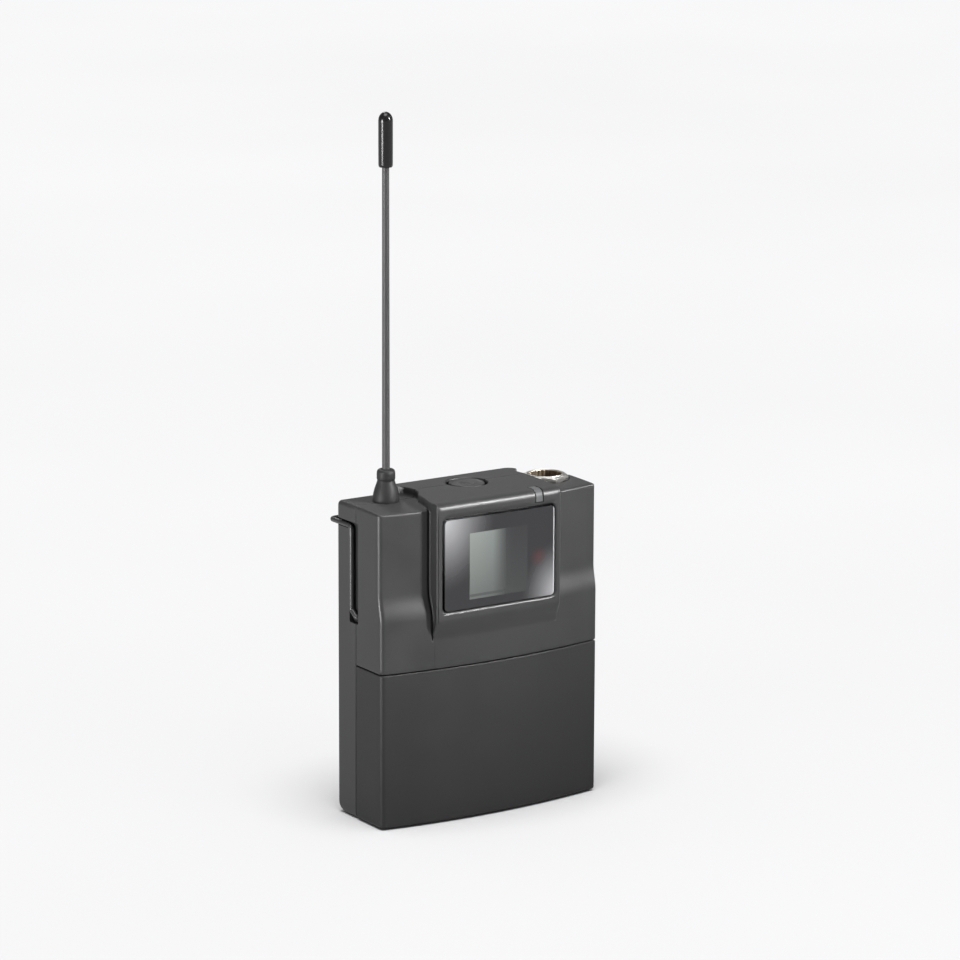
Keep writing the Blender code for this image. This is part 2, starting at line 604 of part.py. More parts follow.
def build_antenna():
    centre = (ANTENNA_X, ANTENNA_Y)
    bore = WHIP_RADIUS + GAP
    rod("antenna_whip", "Z", centre, WHIP_RADIUS, 86.0, TIP_LOW + TIP_BORE, "whip_rubber",
        count=20)
    dome = [(TIP_RADIUS * math.cos(a), TIP_TOP - TIP_RADIUS + TIP_RADIUS * math.sin(a))
            for a in [math.pi / 2 * i / 5 for i in range(6)]]
    dome[-1] = (0, TIP_TOP)
    blind = TIP_LOW + TIP_BORE + GAP
    profile = [(0, blind), (bore, blind), (bore, TIP_LOW), (TIP_RADIUS - 0.3, TIP_LOW),
               (TIP_RADIUS, TIP_LOW + 0.4)] + dome
    turned("antenna_tip_cap", profile, centre, "tip_rubber", count=24)
    profile = [(bore, HEIGHT + GAP), (BOOT_RADIUS, HEIGHT + GAP), (BOOT_RADIUS, HEIGHT + 1.0),
               (COLLAR_RADIUS + 0.15, COLLAR_LOW), (COLLAR_RADIUS, COLLAR_LOW + 0.5),
               (COLLAR_RADIUS, COLLAR_TOP - 0.5), (COLLAR_RADIUS - 0.5, COLLAR_TOP), (bore, COLLAR_TOP)]
    turned("antenna_boot", profile, centre, "whip_rubber", count=28)
    profile = [(bore, 86.5), (FERRULE_RADIUS, 86.5), (FERRULE_RADIUS, 91.6), (NECK_RADIUS, 91.6),
               (NECK_RADIUS, HEIGHT), (bore, HEIGHT)]
    turned("antenna_ferrule", profile, centre, "nickel", count=20)


def build_boards():
    box("main_board", (-26.5, 5.0, 48.0), (20.5, 6.4, 90.0), "board_green")
    shield = box("rf_shield", (-22.0, 1.4, 52.0), (14.0, 4.7, 80.0), "nickel")
    cut(shield, box("cut_shield", (-21.5, 1.9, 52.5), (13.5, 10, 79.5)))
    box("antenna_contact", (ANTENNA_X - 1.2, -0.6, 82.0), (ANTENNA_X + 1.2, 3.6, 82.6), "gold_contact")


def cell_profile(nub_side):
    """Radius and place along X of one AA cell; its nub points to `nub_side`."""
    tip = BAY_HALF - 1.0
    head = tip - NUB_LENGTH
    foot = head - CELL_BODY
    profile = [(0, tip), (NUB_RADIUS, tip), (NUB_RADIUS, head), (CELL_RADIUS - 0.5, head),
               (CELL_RADIUS, head - 0.5), (CELL_RADIUS, foot + 0.5), (CELL_RADIUS - 0.5, foot), (0, foot)]
    return [(radius, nub_side * along) for radius, along in profile]


def build_cells():
    for name, z, side in (("upper", CELL_LEVELS[1], -1), ("lower", CELL_LEVELS[0], 1)):
        turned(f"battery_{name}", cell_profile(side), (CELL_Y, z), "cell_wrap", axis="X")
        start, end, turns, per_turn = 23.6, BAY_HALF - 1.3, 3, 12
        path = []
        for i in range(turns * per_turn + 1):
            t = i / (turns * per_turn)
            radius = SPRING_SMALL + (SPRING_LARGE - SPRING_SMALL) * t
            angle = 2 * math.pi * turns * t
            path.append((-side * (start + (end - start) * t), CELL_Y + radius * math.cos(angle),
                         z + radius * math.sin(angle)))
        sweep(f"battery_spring_{name}", path, SPRING_WIRE, "steel", sides=6)
    inner, outer = BAY_HALF - 0.7, BAY_HALF - GAP
    for name, z in zip(("lower", "upper"), CELL_LEVELS):
        box(f"contact_right_{name}", (inner, CELL_Y - 5, z - 5.5), (outer, CELL_Y + 5, z + 5.5), "nickel")
        box(f"contact_left_{name}", (-outer, CELL_Y - 5, z - 5.5), (-inner, CELL_Y + 5, z + 5.5), "nickel")


def build_clip():
    """One bent wire, mirrored about X = 0: ends in the side pivots, up the side channels,
    back and across behind the case, then down in a loop that pinches towards the back."""
    half = [(35.0, 0, PIVOT_Z), (LEG_X, 0, PIVOT_Z), (LEG_X, LEG_Y, PIVOT_Z + 3.5), (LEG_X, LEG_Y, CROSS_Z),
            (LEG_X, CROSS_Y, CROSS_Z), (LOOP_HALF, CROSS_Y, CROSS_Z), (LOOP_HALF, LOOP_PINCH_Y, LOOP_PINCH_Z),
            (LOOP_HALF - 2, LOOP_TIP_Y, LOOP_TIP_Z)]
    corners = half + [(-x, y, z) for x, y, z in reversed(half)]
    sweep("belt_clip", rounded_path(corners, WIRE_BEND), WIRE_RADIUS, "clip_wire", origin=(0, 0, PIVOT_Z))


def build_screws():
    for i, (x, z) in enumerate(HOUSING_SCREWS):
        face = REAR_DEPTH - 0.3
        profile = [(0, SCREW_END), (SCREW_RADIUS, SCREW_END), (SCREW_RADIUS, face - 1.6),
                   (SCREW_HEAD, face - 1.6), (SCREW_HEAD, face - 0.3), (SCREW_HEAD - 0.3, face), (0, face)]
        turned(f"housing_screw_{i + 1}", profile, (x, z), "steel", count=16, axis="Y")
    for i, (x, z) in enumerate(CHASSIS_SCREWS):
        face = CHASSIS_FRONT + 0.4
        profile = [(0, 7.0), (TRAY_SCREW_RADIUS, 7.0), (TRAY_SCREW_RADIUS, face + 1.3),
                   (TRAY_SCREW_HEAD, face + 1.3), (TRAY_SCREW_HEAD, face), (0, face)]
        turned(f"chassis_screw_{i + 1}", profile, (x, z), "steel", count=14, axis="Y")


SHARED = shell_cutters()
build_rear_housing(SHARED)
build_front_housing(SHARED)
build_battery_door()
build_chassis()
build_display()
build_button()
build_connector()
build_antenna()
build_boards()
build_cells()
build_clip()
build_screws()
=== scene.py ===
"""Wireless bodypack transmitter: the visual model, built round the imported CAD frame.

Lengths are millimetres until a mesh is made. X is to the right, -Y to the front, Z up,
and Y = 0 is the plane where the front and rear shells meet.
"""
import math

import bmesh
import bpy
from mathutils import Matrix, Vector


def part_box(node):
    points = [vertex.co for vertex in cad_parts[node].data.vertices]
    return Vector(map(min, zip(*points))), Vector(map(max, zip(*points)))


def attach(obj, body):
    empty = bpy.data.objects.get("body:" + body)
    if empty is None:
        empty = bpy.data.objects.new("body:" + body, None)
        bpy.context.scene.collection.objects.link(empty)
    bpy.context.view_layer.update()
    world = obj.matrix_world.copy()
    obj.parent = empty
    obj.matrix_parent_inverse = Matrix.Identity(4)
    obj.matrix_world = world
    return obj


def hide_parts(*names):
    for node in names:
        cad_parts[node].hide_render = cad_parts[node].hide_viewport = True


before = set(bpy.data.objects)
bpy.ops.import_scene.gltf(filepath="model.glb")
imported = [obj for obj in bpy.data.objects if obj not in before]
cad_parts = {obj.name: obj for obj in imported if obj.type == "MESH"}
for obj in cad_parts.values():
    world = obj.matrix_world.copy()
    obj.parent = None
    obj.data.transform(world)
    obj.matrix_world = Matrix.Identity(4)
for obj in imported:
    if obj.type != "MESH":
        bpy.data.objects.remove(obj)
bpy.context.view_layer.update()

MM = 0.001
# The centre block's front face is this far in front of the seam, so the frame says where the
# seam is.
CONSOLE_DEPTH = 18.85
SEAM_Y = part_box("front_housing")[0][1] / MM + CONSOLE_DEPTH

# The case: half its width, its height up to the shoulders, its depth behind and in front (at the
# shoulders and below), how far the front bows out and the top rises, and how thick its walls are.
HALF = 37.75
HEIGHT = 94.0
REAR_DEPTH = 10.25
SHOULDER_DEPTH = 13.0
LOWER_DEPTH = 14.2
BOW = 3.2
DOOR_TOP = 46.5
CROWN = 0.35
WALL = 3.0
DOOR_WALL = 2.0

# Its corners and edges. The seam between the shells has small chamfers of SEAM_EDGE.
GAP = 0.3
SEAM = GAP / 2
SEAM_EDGE = 0.32
SIDE_STEPS = 9
CORNER = 1.5
RIGHT_CORNER = 0.6
REAR_CORNER = 1.2
TOP_EDGE = 0.7
REAR_TOP_EDGE = 1.1
REAR_FOOT_EDGE = 3.0

# The raised centre block, with the cavity under it. CROWN_RIGHT and CROWN_CORNER are its back
# right corner.
CONSOLE_LEFT = -21.7
CONSOLE_RIGHT = 21.9
CONSOLE_TOP = 96.4
CONSOLE_EDGE = 2.3
CROWN_RIGHT = 23.5
CROWN_CORNER = 2.9
BLOCK_CAVITY_LEFT = -15.2
BLOCK_CAVITY_TOP = 92.6

# Across the foot of the block's left wall: x, and how far behind the shoulder's face. First the
# groove, then the rise out of it. FINE_LINE is the line between the block's edge and its face, as
# x and the share of its depth.
GROOVE = ((-22.3, 1.0), (-22.24, 1.25), (-22.02, 1.25), (-21.97, 1.1))
GROOVE_RISE = ((-21.96, -0.12), (-21.88, -0.26), (-21.74, -0.3))
GROOVE_LIP = 0.35
FINE_LINE = ((-21.34, 0.0), (-21.26, 1.0), (-21.14, 1.0), (-21.06, 0.0))

# What sits in the case. Places on the top are (x, y), and places of screws are (x, z).
ANTENNA = (-26.9, 0.5)
CONNECTOR = (28.8, 0.0)
NUT_CORNER = -37.0
NUT_FLAT = 6.0
BUTTON = (0.8, 0.0)
WELL_RADIUS = 6.1
RECESS_HALF_WIDE = 19.68
RECESS_HALF_HIGH = 14.03
RECESS_MIDDLE = 77.75
PIPE_X = 13.9
PIPE_HALF = 1.2
BOSS_X = 30.5
BOSS_HEIGHTS = (51.5, 75.0)
TRAY_SCREWS = ((-31.2, 24.3), (31.2, 24.3))

# The clip: its wire, its two pivots, and the channels in the case's sides. OUTSIDE is well past
# either side of the case.
WIRE_RADIUS = 0.75
WIRE_X = 37.2
PIVOT_Z = 60.6
CLIP_TOP = 87.7
CHANNEL_FLOOR = 36.1
CHANNEL_TOP = 89.2
OUTSIDE = 60

# The AA cells: radius, length from the raised tip to the far end, and y of their axis.
CELL_RADIUS = 7.25
CELL_LENGTH = 50.5
CELL_Y = -2.0

# The camera as it was fitted to the photo: its place, and its angles in radians.
CAMERA = (-730.810, -1110.041, 408.941)
CAMERA_TURN = 0.5857
CAMERA_TILT = 0.2303
CAMERA_ROLL = -0.0036
CAMERA_LENS = 174.36

# Round lights: name, place and aim in metres, watts, cone in degrees, and radius in metres.
SPOTS = (
    ("left_spot", (-0.785, -0.060, 0.110), (0.0, 0.0, 0.132), 140.0, 14.4, 0.13),
    ("front_spot", (0.395, -0.608, 0.428), (-0.047, 0.0, 0.124), 370.0, 10.3, 0.12),
    ("back_spot", (0.220, 0.690, 0.720), (0.0, 0.0, 0.100), 14.0, 18.0, 0.12),
)


# ---------------------------------------------------------------- node materials
def new_material(name):
    """A material, its node tree and its shader."""
    material = bpy.data.materials.new(name)
    material.use_nodes = True
    return material, material.node_tree, material.node_tree.nodes["Principled BSDF"]


def node(tree, kind, inputs=(), **settings):
    """A node with its settings made and its inputs set or linked."""
    made = tree.nodes.new(kind)
    for key, value in settings.items():
        setattr(made, key, value)
    for key, value in dict(inputs).items():
        if isinstance(value, bpy.types.NodeSocket):
            tree.links.new(value, made.inputs[key])
        else:
            made.inputs[key].default_value = value
    return made


def feed(shader, name, value):
    """Link a node's output to one of the shader's inputs."""
    shader.id_data.links.new(value, shader.inputs[name])


def place_of(tree, stretch=(1.0, 1.0, 1.0)):
    """Object coordinates in metres, stretched along the axes."""
    spot = node(tree, "ShaderNodeTexCoord").outputs["Object"]
    return node(tree, "ShaderNodeMapping", {"Vector": spot, "Scale": stretch}).outputs["Vector"]


def noise(tree, where, scale, detail, roughness=0.5):
    return node(tree, "ShaderNodeTexNoise", {"Vector": where, "Scale": scale, "Detail": detail,
                                             "Roughness": roughness}).outputs["Fac"]


def math_node(tree, operation, a, b=0.0):
    return node(tree, "ShaderNodeMath", {0: a, 1: b}, operation=operation).outputs["Value"]


def remap(tree, value, low, high, to_low=0.0, to_high=1.0, curve="LINEAR"):
    """`value` moved from the range low..high to the range to_low..to_high, and held in it."""
    ranges = {"From Min": low, "From Max": high, "To Min": to_low, "To Max": to_high}
    made = node(tree, "ShaderNodeMapRange", {"Value": value, **ranges}, interpolation_type=curve)
    return made.outputs["Result"]


def over(tree, below, above, factor):
    """One colour laid over another. Each is a colour or the output of a node."""
    made = node(tree, "ShaderNodeMix", {"Factor": factor}, data_type="RGBA")
    for socket, value in (("A", below), ("B", above)):
        if isinstance(value, tuple):
            made.inputs[socket].default_value = (*value, 1.0)
        else:
            tree.links.new(value, made.inputs[socket])
    return made.outputs["Result"]


def ramp(tree, factor, stops):
    """A colour ramp through (position, colour) stops."""
    made = node(tree, "ShaderNodeValToRGB", {"Fac": factor})
    elements = made.color_ramp.elements
    while len(elements) < len(stops):
        elements.new(0.5)
    for element, (position, colour) in zip(elements, stops):
        element.position = position
        element.color = (*colour, 1.0)
    return made.outputs["Color"]


def grey(value):
    return (value, value, value * 1.01)


def grain(tree, shader, where, size, depth, rough_low, rough_high, strength=0.5, dust=0.0):
    """A fine moulded texture: bumps of `size` mm, roughness that varies with them, and `dust`
    that dulls the faces that look up."""
    fine = noise(tree, where, 1.0 / (size * MM), 3.0, 0.6)
    bump = node(tree, "ShaderNodeBump", {"Height": fine, "Strength": strength, "Distance": depth * MM})
    feed(shader, "Normal", bump.outputs["Normal"])
    broad = noise(tree, where, 90.0, 4.0)
    rough = remap(tree, broad, 0.3, 0.7, rough_low, rough_high)
    facing = node(tree, "ShaderNodeSeparateXYZ",
                  {"Vector": node(tree, "ShaderNodeNewGeometry").outputs["Normal"]}).outputs["Z"]
    total = math_node(tree, "ADD", rough, remap(tree, facing, 0.86, 0.985, 0.0, dust))
    feed(shader, "Roughness", total)
    return fine, broad


def plastic(name, dark, light, size=0.35, depth=0.03, rough=(0.48, 0.58), gloss=0.4, dust=0.0):
    """Moulded plastic: fine grain, slight mottling, and a painted highlight that lightens its edges."""
    material, tree, shader = new_material(name)
    where = place_of(tree)
    fine, broad = grain(tree, shader, where, size, depth, *rough, dust=dust)
    mean = math_node(tree, "MULTIPLY", math_node(tree, "ADD", fine, broad), 0.5)
    base = ramp(tree, mean, ((0.38, dark), (0.62, light)))
    # Painted highlight: convex edges are painted lighter, where light would catch them.
    edge = node(tree, "ShaderNodeNewGeometry").outputs["Pointiness"]
    edge_highlight_share = remap(tree, edge, 0.52, 0.60, 0.0, 0.35)
    painted_edge_highlight = tuple(min(1.0, channel * 1.5) for channel in light)
    feed(shader, "Base Color", over(tree, base, painted_edge_highlight, edge_highlight_share))
    shader.inputs["Specular IOR Level"].default_value = gloss
    return material


def metal(name, dark, light, rough, size=0.5, stretch=(1.0, 1.0, 1.0), depth=0.01):
    """Plated or drawn metal. `stretch` draws its mottling out along an axis."""
    material, tree, shader = new_material(name)
    where = place_of(tree, stretch)
    _, broad = grain(tree, shader, where, size, depth, *rough, strength=0.25)
    base = ramp(tree, broad, ((0.3, dark), (0.7, light)))
    feed(shader, "Base Color", base)
    shader.inputs["Metallic"].default_value = 1.0
    return material


def window_material():
    """A glossy pane: black print, grey painted reflections in two corners, a painted highlight
    along its right edge, the display showing through a clear field with painted shade towards
    its right and its foot, and a soft red spot where the infrared port is."""
    material, tree, shader = new_material("window_print_and_painted_light")
    where = node(tree, "ShaderNodeTexCoord").outputs["Object"]
    parts = node(tree, "ShaderNodeSeparateXYZ", {"Vector": where})
    across = math_node(tree, "MULTIPLY", parts.outputs["X"], 1 / MM)
    up = math_node(tree, "MULTIPLY", parts.outputs["Z"], 1 / MM)

    def times(a, b):
        return math_node(tree, "MULTIPLY", a, b)

    def band(value, low, high, soft):
        """1 between `low` and `high`, with soft ends."""
        rise = remap(tree, value, low - soft, low + soft, curve="SMOOTHSTEP")
        fall = remap(tree, value, high - soft, high + soft, 1.0, 0.0, "SMOOTHSTEP")
        return times(rise, fall)

    def spread(x, z, reach_x, reach_z, power):
        """1 at the point (x, z), falling to 0 at its reach."""
        dx = math_node(tree, "DIVIDE", math_node(tree, "SUBTRACT", across, x), reach_x)
        dz = math_node(tree, "DIVIDE", math_node(tree, "SUBTRACT", up, z), reach_z)
        squares = math_node(tree, "ADD", times(dx, dx), times(dz, dz))
        left = math_node(tree, "SUBTRACT", 1.0, math_node(tree, "SQRT", squares))
        return math_node(tree, "POWER", math_node(tree, "MAXIMUM", left, 0.0), power)

    base = (0.004, 0.004, 0.005)
    # Painted reflections: grey spreads in the top left and bottom right corners stand for lights seen in the
    # glossy pane.
    base = over(tree, base, (0.25, 0.25, 0.258), spread(-20.0, 92.5, 19.0, 23.5, 1.7))
    base = over(tree, base, (0.24, 0.24, 0.248), spread(21.5, 64.5, 14.0, 16.5, 1.7))
    # Painted highlight: a pale band along the pane's right edge.
    base = over(tree, base, (0.30, 0.30, 0.31), times(band(across, 18.95, 19.6, 0.08), 0.8))
    # Painted shade: the display is painted darker towards its right, as the window's shadow on it, with a
    # painted shadow line near its foot; it is also painted darker towards its foot.
    shade = remap(tree, across, -11.0, 6.0, curve="SMOOTHSTEP")
    screen = ramp(tree, shade, ((0.0, (0.116, 0.125, 0.118)), (0.52, (0.090, 0.100, 0.095)),
                                (0.9, (0.012, 0.0125, 0.013)), (1.0, (0.007, 0.007, 0.008))))
    screen = over(tree, screen, (0.015, 0.0165, 0.0165), times(band(up, 67.3, 68.1, 0.08), 0.6))
    screen = over(tree, screen, (0.018, 0.020, 0.019), remap(tree, up, 66.0, 86.4, 0.68, 0.0))
    field = times(band(across, -10.35, 9.85, 0.06), band(up, 66.6, 86.4, 0.06))
    base = over(tree, base, screen, field)
    base = over(tree, base, (0.045, 0.007, 0.008), times(spread(13.8, 76.2, 3.4, 3.4, 1.3), 0.6))
    feed(shader, "Base Color", base)
    smear = noise(tree, where, 120.0, 5.0)
    feed(shader, "Roughness", remap(tree, smear, 0.3, 0.7, 0.05, 0.09))
    shader.inputs["Specular IOR Level"].default_value = 0.5
    shader.inputs["Coat Weight"].default_value = 0.3
    shader.inputs["Coat Roughness"].default_value = 0.03
    return material


def cell_material():
    """A generic printed wrap: a dark cell with a pale band at each end."""
    material, tree, shader = new_material("cell_wrap")
    where = place_of(tree)
    _, broad = grain(tree, shader, where, 0.8, 0.004, 0.22, 0.32, strength=0.2)
    parts = node(tree, "ShaderNodeSeparateXYZ", {"Vector": where})
    across = remap(tree, parts.outputs["X"], -0.028, 0.028)
    pale = (0.30, 0.31, 0.32)
    base = ramp(tree, across, ((0.0, pale), (0.16, pale), (0.165, (0.012, 0.03, 0.07)),
                               (0.84, (0.014, 0.034, 0.08)), (0.845, pale)))
    scuffs = ramp(tree, broad, ((0.3, (0.0, 0.0, 0.0)), (0.7, (0.3, 0.3, 0.3))))
    feed(shader, "Base Color", over(tree, base, scuffs, 0.12))
    return material


def board_material():
    """Solder mask with faint copper tracks under it."""
    material, tree, shader = new_material("board_green")
    where = place_of(tree)
    cells = node(tree, "ShaderNodeTexBrick", {"Vector": where, "Scale": 300.0, "Mortar Size": 0.03,
                                              "Color1": (0.012, 0.075, 0.03, 1.0),
                                              "Color2": (0.016, 0.09, 0.036, 1.0),
                                              "Mortar": (0.03, 0.14, 0.06, 1.0)})
    feed(shader, "Base Color", cells.outputs["Color"])
    grain(tree, shader, where, 0.6, 0.01, 0.3, 0.4, strength=0.3)
    return material


def floor_material():
    """Matt white, with the faintest unevenness."""
    material, tree, shader = new_material("floor")
    broad = noise(tree, place_of(tree), 3.0, 2.0)
    feed(shader, "Base Color", ramp(tree, broad, ((0.3, grey(0.70)), (0.7, grey(0.72)))))
    shader.inputs["Roughness"].default_value = 0.9
    shader.inputs["Specular IOR Level"].default_value = 0.1
    return material


MATERIALS = {made.name.split(".")[0]: made for made in (
    plastic("case_plastic", grey(0.012), grey(0.016), rough=(0.39, 0.45), gloss=0.36, dust=0.32),
    plastic("door_plastic", grey(0.006), grey(0.008), rough=(0.48, 0.54), gloss=0.32),
    plastic("chassis_plastic", grey(0.020), grey(0.028), size=0.6),
    plastic("button_plastic", grey(0.009), grey(0.012), rough=(0.40, 0.47), dust=0.2),
    plastic("whip_rubber", grey(0.009), grey(0.012), size=0.25, depth=0.01, rough=(0.48, 0.56),
            gloss=0.2),
    plastic("whip_sleeve", grey(0.020), grey(0.024), size=0.25, depth=0.01, rough=(0.44, 0.52),
            gloss=0.35),
    plastic("tip_rubber", grey(0.003), grey(0.004), size=0.8, depth=0.004, rough=(0.22, 0.28),
            gloss=0.3),
    plastic("insulator", grey(0.016), grey(0.024), rough=(0.4, 0.5)),
    plastic("clear_plastic", (0.045, 0.046, 0.047), (0.06, 0.061, 0.062), size=0.6, depth=0.006,
            rough=(0.42, 0.50), gloss=0.2),
    plastic("lcd_glass", (0.13, 0.15, 0.135), (0.15, 0.17, 0.155), depth=0.002, rough=(0.1, 0.15)),
    plastic("ir_red", (0.20, 0.01, 0.01), (0.26, 0.015, 0.015), depth=0.004, rough=(0.12, 0.18)),
    metal("nickel", (0.36, 0.35, 0.335), (0.45, 0.44, 0.42), (0.34, 0.42), depth=0.002),
    metal("socket_brass", (0.18, 0.142, 0.10), (0.30, 0.24, 0.17), (0.34, 0.44), depth=0.003,
          stretch=(6.0, 6.0, 0.4)),
    metal("gold_contact", (0.70, 0.48, 0.20), (0.86, 0.64, 0.30), (0.18, 0.28)),
    metal("steel", (0.34, 0.34, 0.35), (0.46, 0.46, 0.47), (0.26, 0.38)),
    plastic("clip_wire", grey(0.012), grey(0.016), size=0.3, depth=0.006, rough=(0.36, 0.44),
            gloss=0.45),
    window_material(),
    cell_material(),
    board_material(),
)}


# ---------------------------------------------------------------- mesh helpers
def solid(name, bm):
    """A bmesh in millimetres becomes an object in the frame's metres."""
    bmesh.ops.remove_doubles(bm, verts=bm.verts, dist=1e-4)
    bmesh.ops.recalc_face_normals(bm, faces=bm.faces)
    bmesh.ops.translate(bm, verts=bm.verts, vec=(0.0, SEAM_Y, 0.0))
    bmesh.ops.scale(bm, verts=bm.verts, vec=(MM, MM, MM))
    mesh = bpy.data.meshes.new(name)
    bm.to_mesh(mesh)
    bm.free()
    obj = bpy.data.objects.new(name, mesh)
    bpy.context.scene.collection.objects.link(obj)
    return obj


def settle(obj):
    """Apply the modifiers, and drop the solids that they used."""
    tools = [modifier.object for modifier in obj.modifiers if modifier.type == "BOOLEAN"]
    shape = obj.evaluated_get(bpy.context.evaluated_depsgraph_get())
    mesh = bpy.data.meshes.new_from_object(shape)
    obj.modifiers.clear()
    obj.data = mesh
    for tool in tools:
        bpy.data.objects.remove(tool, do_unlink=True)
    bm = bmesh.new()
    bm.from_mesh(mesh)
    bmesh.ops.remove_doubles(bm, verts=bm.verts, dist=2e-6)
    bmesh.ops.dissolve_degenerate(bm, edges=bm.edges, dist=2e-6)
    bm.to_mesh(mesh)
    bm.free()


def piece(obj, material, body, stands_for=(), angle=38.0, weighted=True):
    """Shade a finished solid and put it on its body."""
    settle(obj)
    mesh = obj.data
    mesh.materials.clear()
    mesh.materials.append(MATERIALS[material])
    mesh.shade_smooth()
    mesh.set_sharp_from_angle(angle=math.radians(angle))
    if weighted:
        even = obj.modifiers.new("even shading", "WEIGHTED_NORMAL")
        even.keep_sharp = True
        even.weight = 70
    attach(obj, body)
    if stands_for:
        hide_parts(*stands_for)


def belt(bm, low, high):
    """Faces between two closed loops of equal point count, which may share a point."""
    for i, j in zip(range(len(low)), [*range(1, len(low)), 0]):
        bm.faces.new(list(dict.fromkeys((low[i], low[j], high[j], high[i]))))


def loft(rings):
    """A closed skin through rings of equal point count, capped at both ends."""
    bm = bmesh.new()
    loops = [[bm.verts.new(point) for point in ring] for ring in rings]
    for low, high in zip(loops, loops[1:]):
        belt(bm, low, high)
    bm.faces.new(loops[0])
    bm.faces.new(loops[-1])
    return bm


def half_shell(rings):
    """A solid whose skin runs through open rings. Their ends, and the whole last ring, lie in
    the parting plane, which closes it."""
    bm = bmesh.new()
    grid = [[bm.verts.new(point) for point in ring] for ring in rings]
    for low, high in zip(grid, grid[1:]):
        for i in range(len(low) - 1):
            bm.faces.new((low[i], low[i + 1], high[i + 1], high[i]))
    bm.faces.new(grid[0])
    bm.faces.new([ring[0] for ring in grid] + grid[-1][1:-1] + [ring[-1] for ring in reversed(grid)])
    return bm


def place(axis, along, u, v):
    """A point `along` the axis, with u and v across it."""
    return {"X": (along, u, v), "Y": (u, along, v), "Z": (u, v, along)}[axis]


def prism(name, outline, axis, low, high):
    """An outline drawn out along an axis."""
    return solid(name, loft([[place(axis, along, u, v) for u, v in outline] for along in (low, high)]))


def box(name, low, high):
    corners = [(low[0], low[1]), (high[0], low[1]), (high[0], high[1]), (low[0], high[1])]
    return prism(name, corners, "Z", low[2], high[2])


def around(centre, radius, angle):
    return (centre[0] + radius * math.cos(angle), centre[1] + radius * math.sin(angle))


def circle(centre, radius, count):
    return [around(centre, radius, 2 * math.pi * i / count) for i in range(count)]


def rod(name, axis, centre, radius, low, high, count=48):
    return prism(name, circle(centre, radius, count), axis, low, high)


def turned(name, profile, centre, count=64, axis="Z", limit=None, start=0.0):
    """A solid of revolution. The profile is a list of (radius, along); when it starts and ends
    on the axis the solid is full, otherwise its last point joins its first. `limit` may hold
    the radius down at some angles."""
    full = profile[0][0] == 0 and profile[-1][0] == 0
    angles = [start + 2 * math.pi * i / count for i in range(count)]
    bm = bmesh.new()
    rings = []
    for radius, along in profile:
        if radius == 0:
            rings.append([bm.verts.new(place(axis, along, *centre))] * count)
            continue
        ring = []
        for angle in angles:
            reach = min(radius, limit(angle)) if limit else radius
            ring.append(bm.verts.new(place(axis, along, *around(centre, reach, angle))))
        rings.append(ring)
    pairs = list(zip(rings, rings[1:]))
    if not full:
        pairs.append((rings[-1], rings[0]))
    for low, high in pairs:
        belt(bm, low, high)
    return solid(name, bm)


def sweep(name, path, radius, sides=12):
    """A round wire along a list of points. Its ends are rounded off."""
    points = [Vector(p) for p in path]
    tangents = [(b - a).normalized() for a, b in zip(points, points[1:])]
    between = [(a + b).normalized() for a, b in zip(tangents, tangents[1:])]
    tangents = [tangents[0]] + between + [tangents[-1]]
    side = tangents[0].orthogonal().normalized()
    rings = []
    last = len(points) - 1
    for i, (point, tangent) in enumerate(zip(points, tangents)):
        side = (side - tangent * side.dot(tangent)).normalized()
        other = tangent.cross(side)
        stops = [(0.0, 1.0)]
        if i == 0:
            stops = [(-0.5, 0.5), (-0.35, 0.8), (0.0, 1.0)]
        elif i == last:
            stops = [(0.0, 1.0), (0.35, 0.8), (0.5, 0.5)]
        for push, share in stops:
            angles = [2 * math.pi * k / sides for k in range(sides)]
            rings.append([point + tangent * push * radius
                          + radius * share * (side * math.cos(a) + other * math.sin(a)) for a in angles])
    return solid(name, loft(rings))


def rounded_path(corners, radius, steps=8):
    """Straight runs joined by arcs of one bend radius, or as much of it as fits."""
    points = [Vector(corners[0])]
    for before, here, after in zip(corners, corners[1:], corners[2:]):
        here = Vector(here)
        back, ahead = Vector(before) - here, Vector(after) - here
        half = back.angle(ahead) / 2
        reach = min(radius / math.tan(half), 0.49 * back.length, 0.49 * ahead.length)
        start = here + back.normalized() * reach
        finish = here + ahead.normalized() * reach
        centre = here + (back.normalized() + ahead.normalized()).normalized() * reach / math.cos(half)
        arm_a, arm_b = start - centre, finish - centre
        bend = arm_a.length
        points += [centre + bend * arm_a.slerp(arm_b, i / steps) for i in range(steps + 1)]
    return points + [Vector(corners[-1])]


def soften(obj, width):
    """Round off the sharp edges."""
    edge = obj.modifiers.new("soft edges", "BEVEL")
    edge.width = width * MM
    edge.segments = 2
    edge.limit_method = "ANGLE"
    edge.angle_limit = math.radians(40.0)


def boolean(target, operation, tools):
    for tool in tools:
        modifier = target.modifiers.new(operation.lower(), "BOOLEAN")
        modifier.operation = operation
        modifier.solver = "EXACT"
        modifier.object = tool


def cut(target, *tools):
    boolean(target, "DIFFERENCE", tools)


def join(target, *tools):
    boolean(target, "UNION", tools)


def arc(centre, radius, start, end, steps=6):
    """Points along an arc, with its angles in degrees."""
    angles = [math.radians(start + (end - start) * i / steps) for i in range(steps + 1)]
    return [around(centre, radius, angle) for angle in angles]


def rounded_rectangle(x_low, x_high, z_low, z_high, corner, steps=8):
    return (arc((x_low + corner, z_low + corner), corner, 180, 270, steps)
            + arc((x_high - corner, z_low + corner), corner, 270, 360, steps)
            + arc((x_high - corner, z_high - corner), corner, 0, 90, steps)
            + arc((x_low + corner, z_high - corner), corner, 90, 180, steps))


def spaced(low, high, count):
    return [low + (high - low) * i / (count - 1) for i in range(count)]


def lerp(a, b, t):
    return a + (b - a) * t


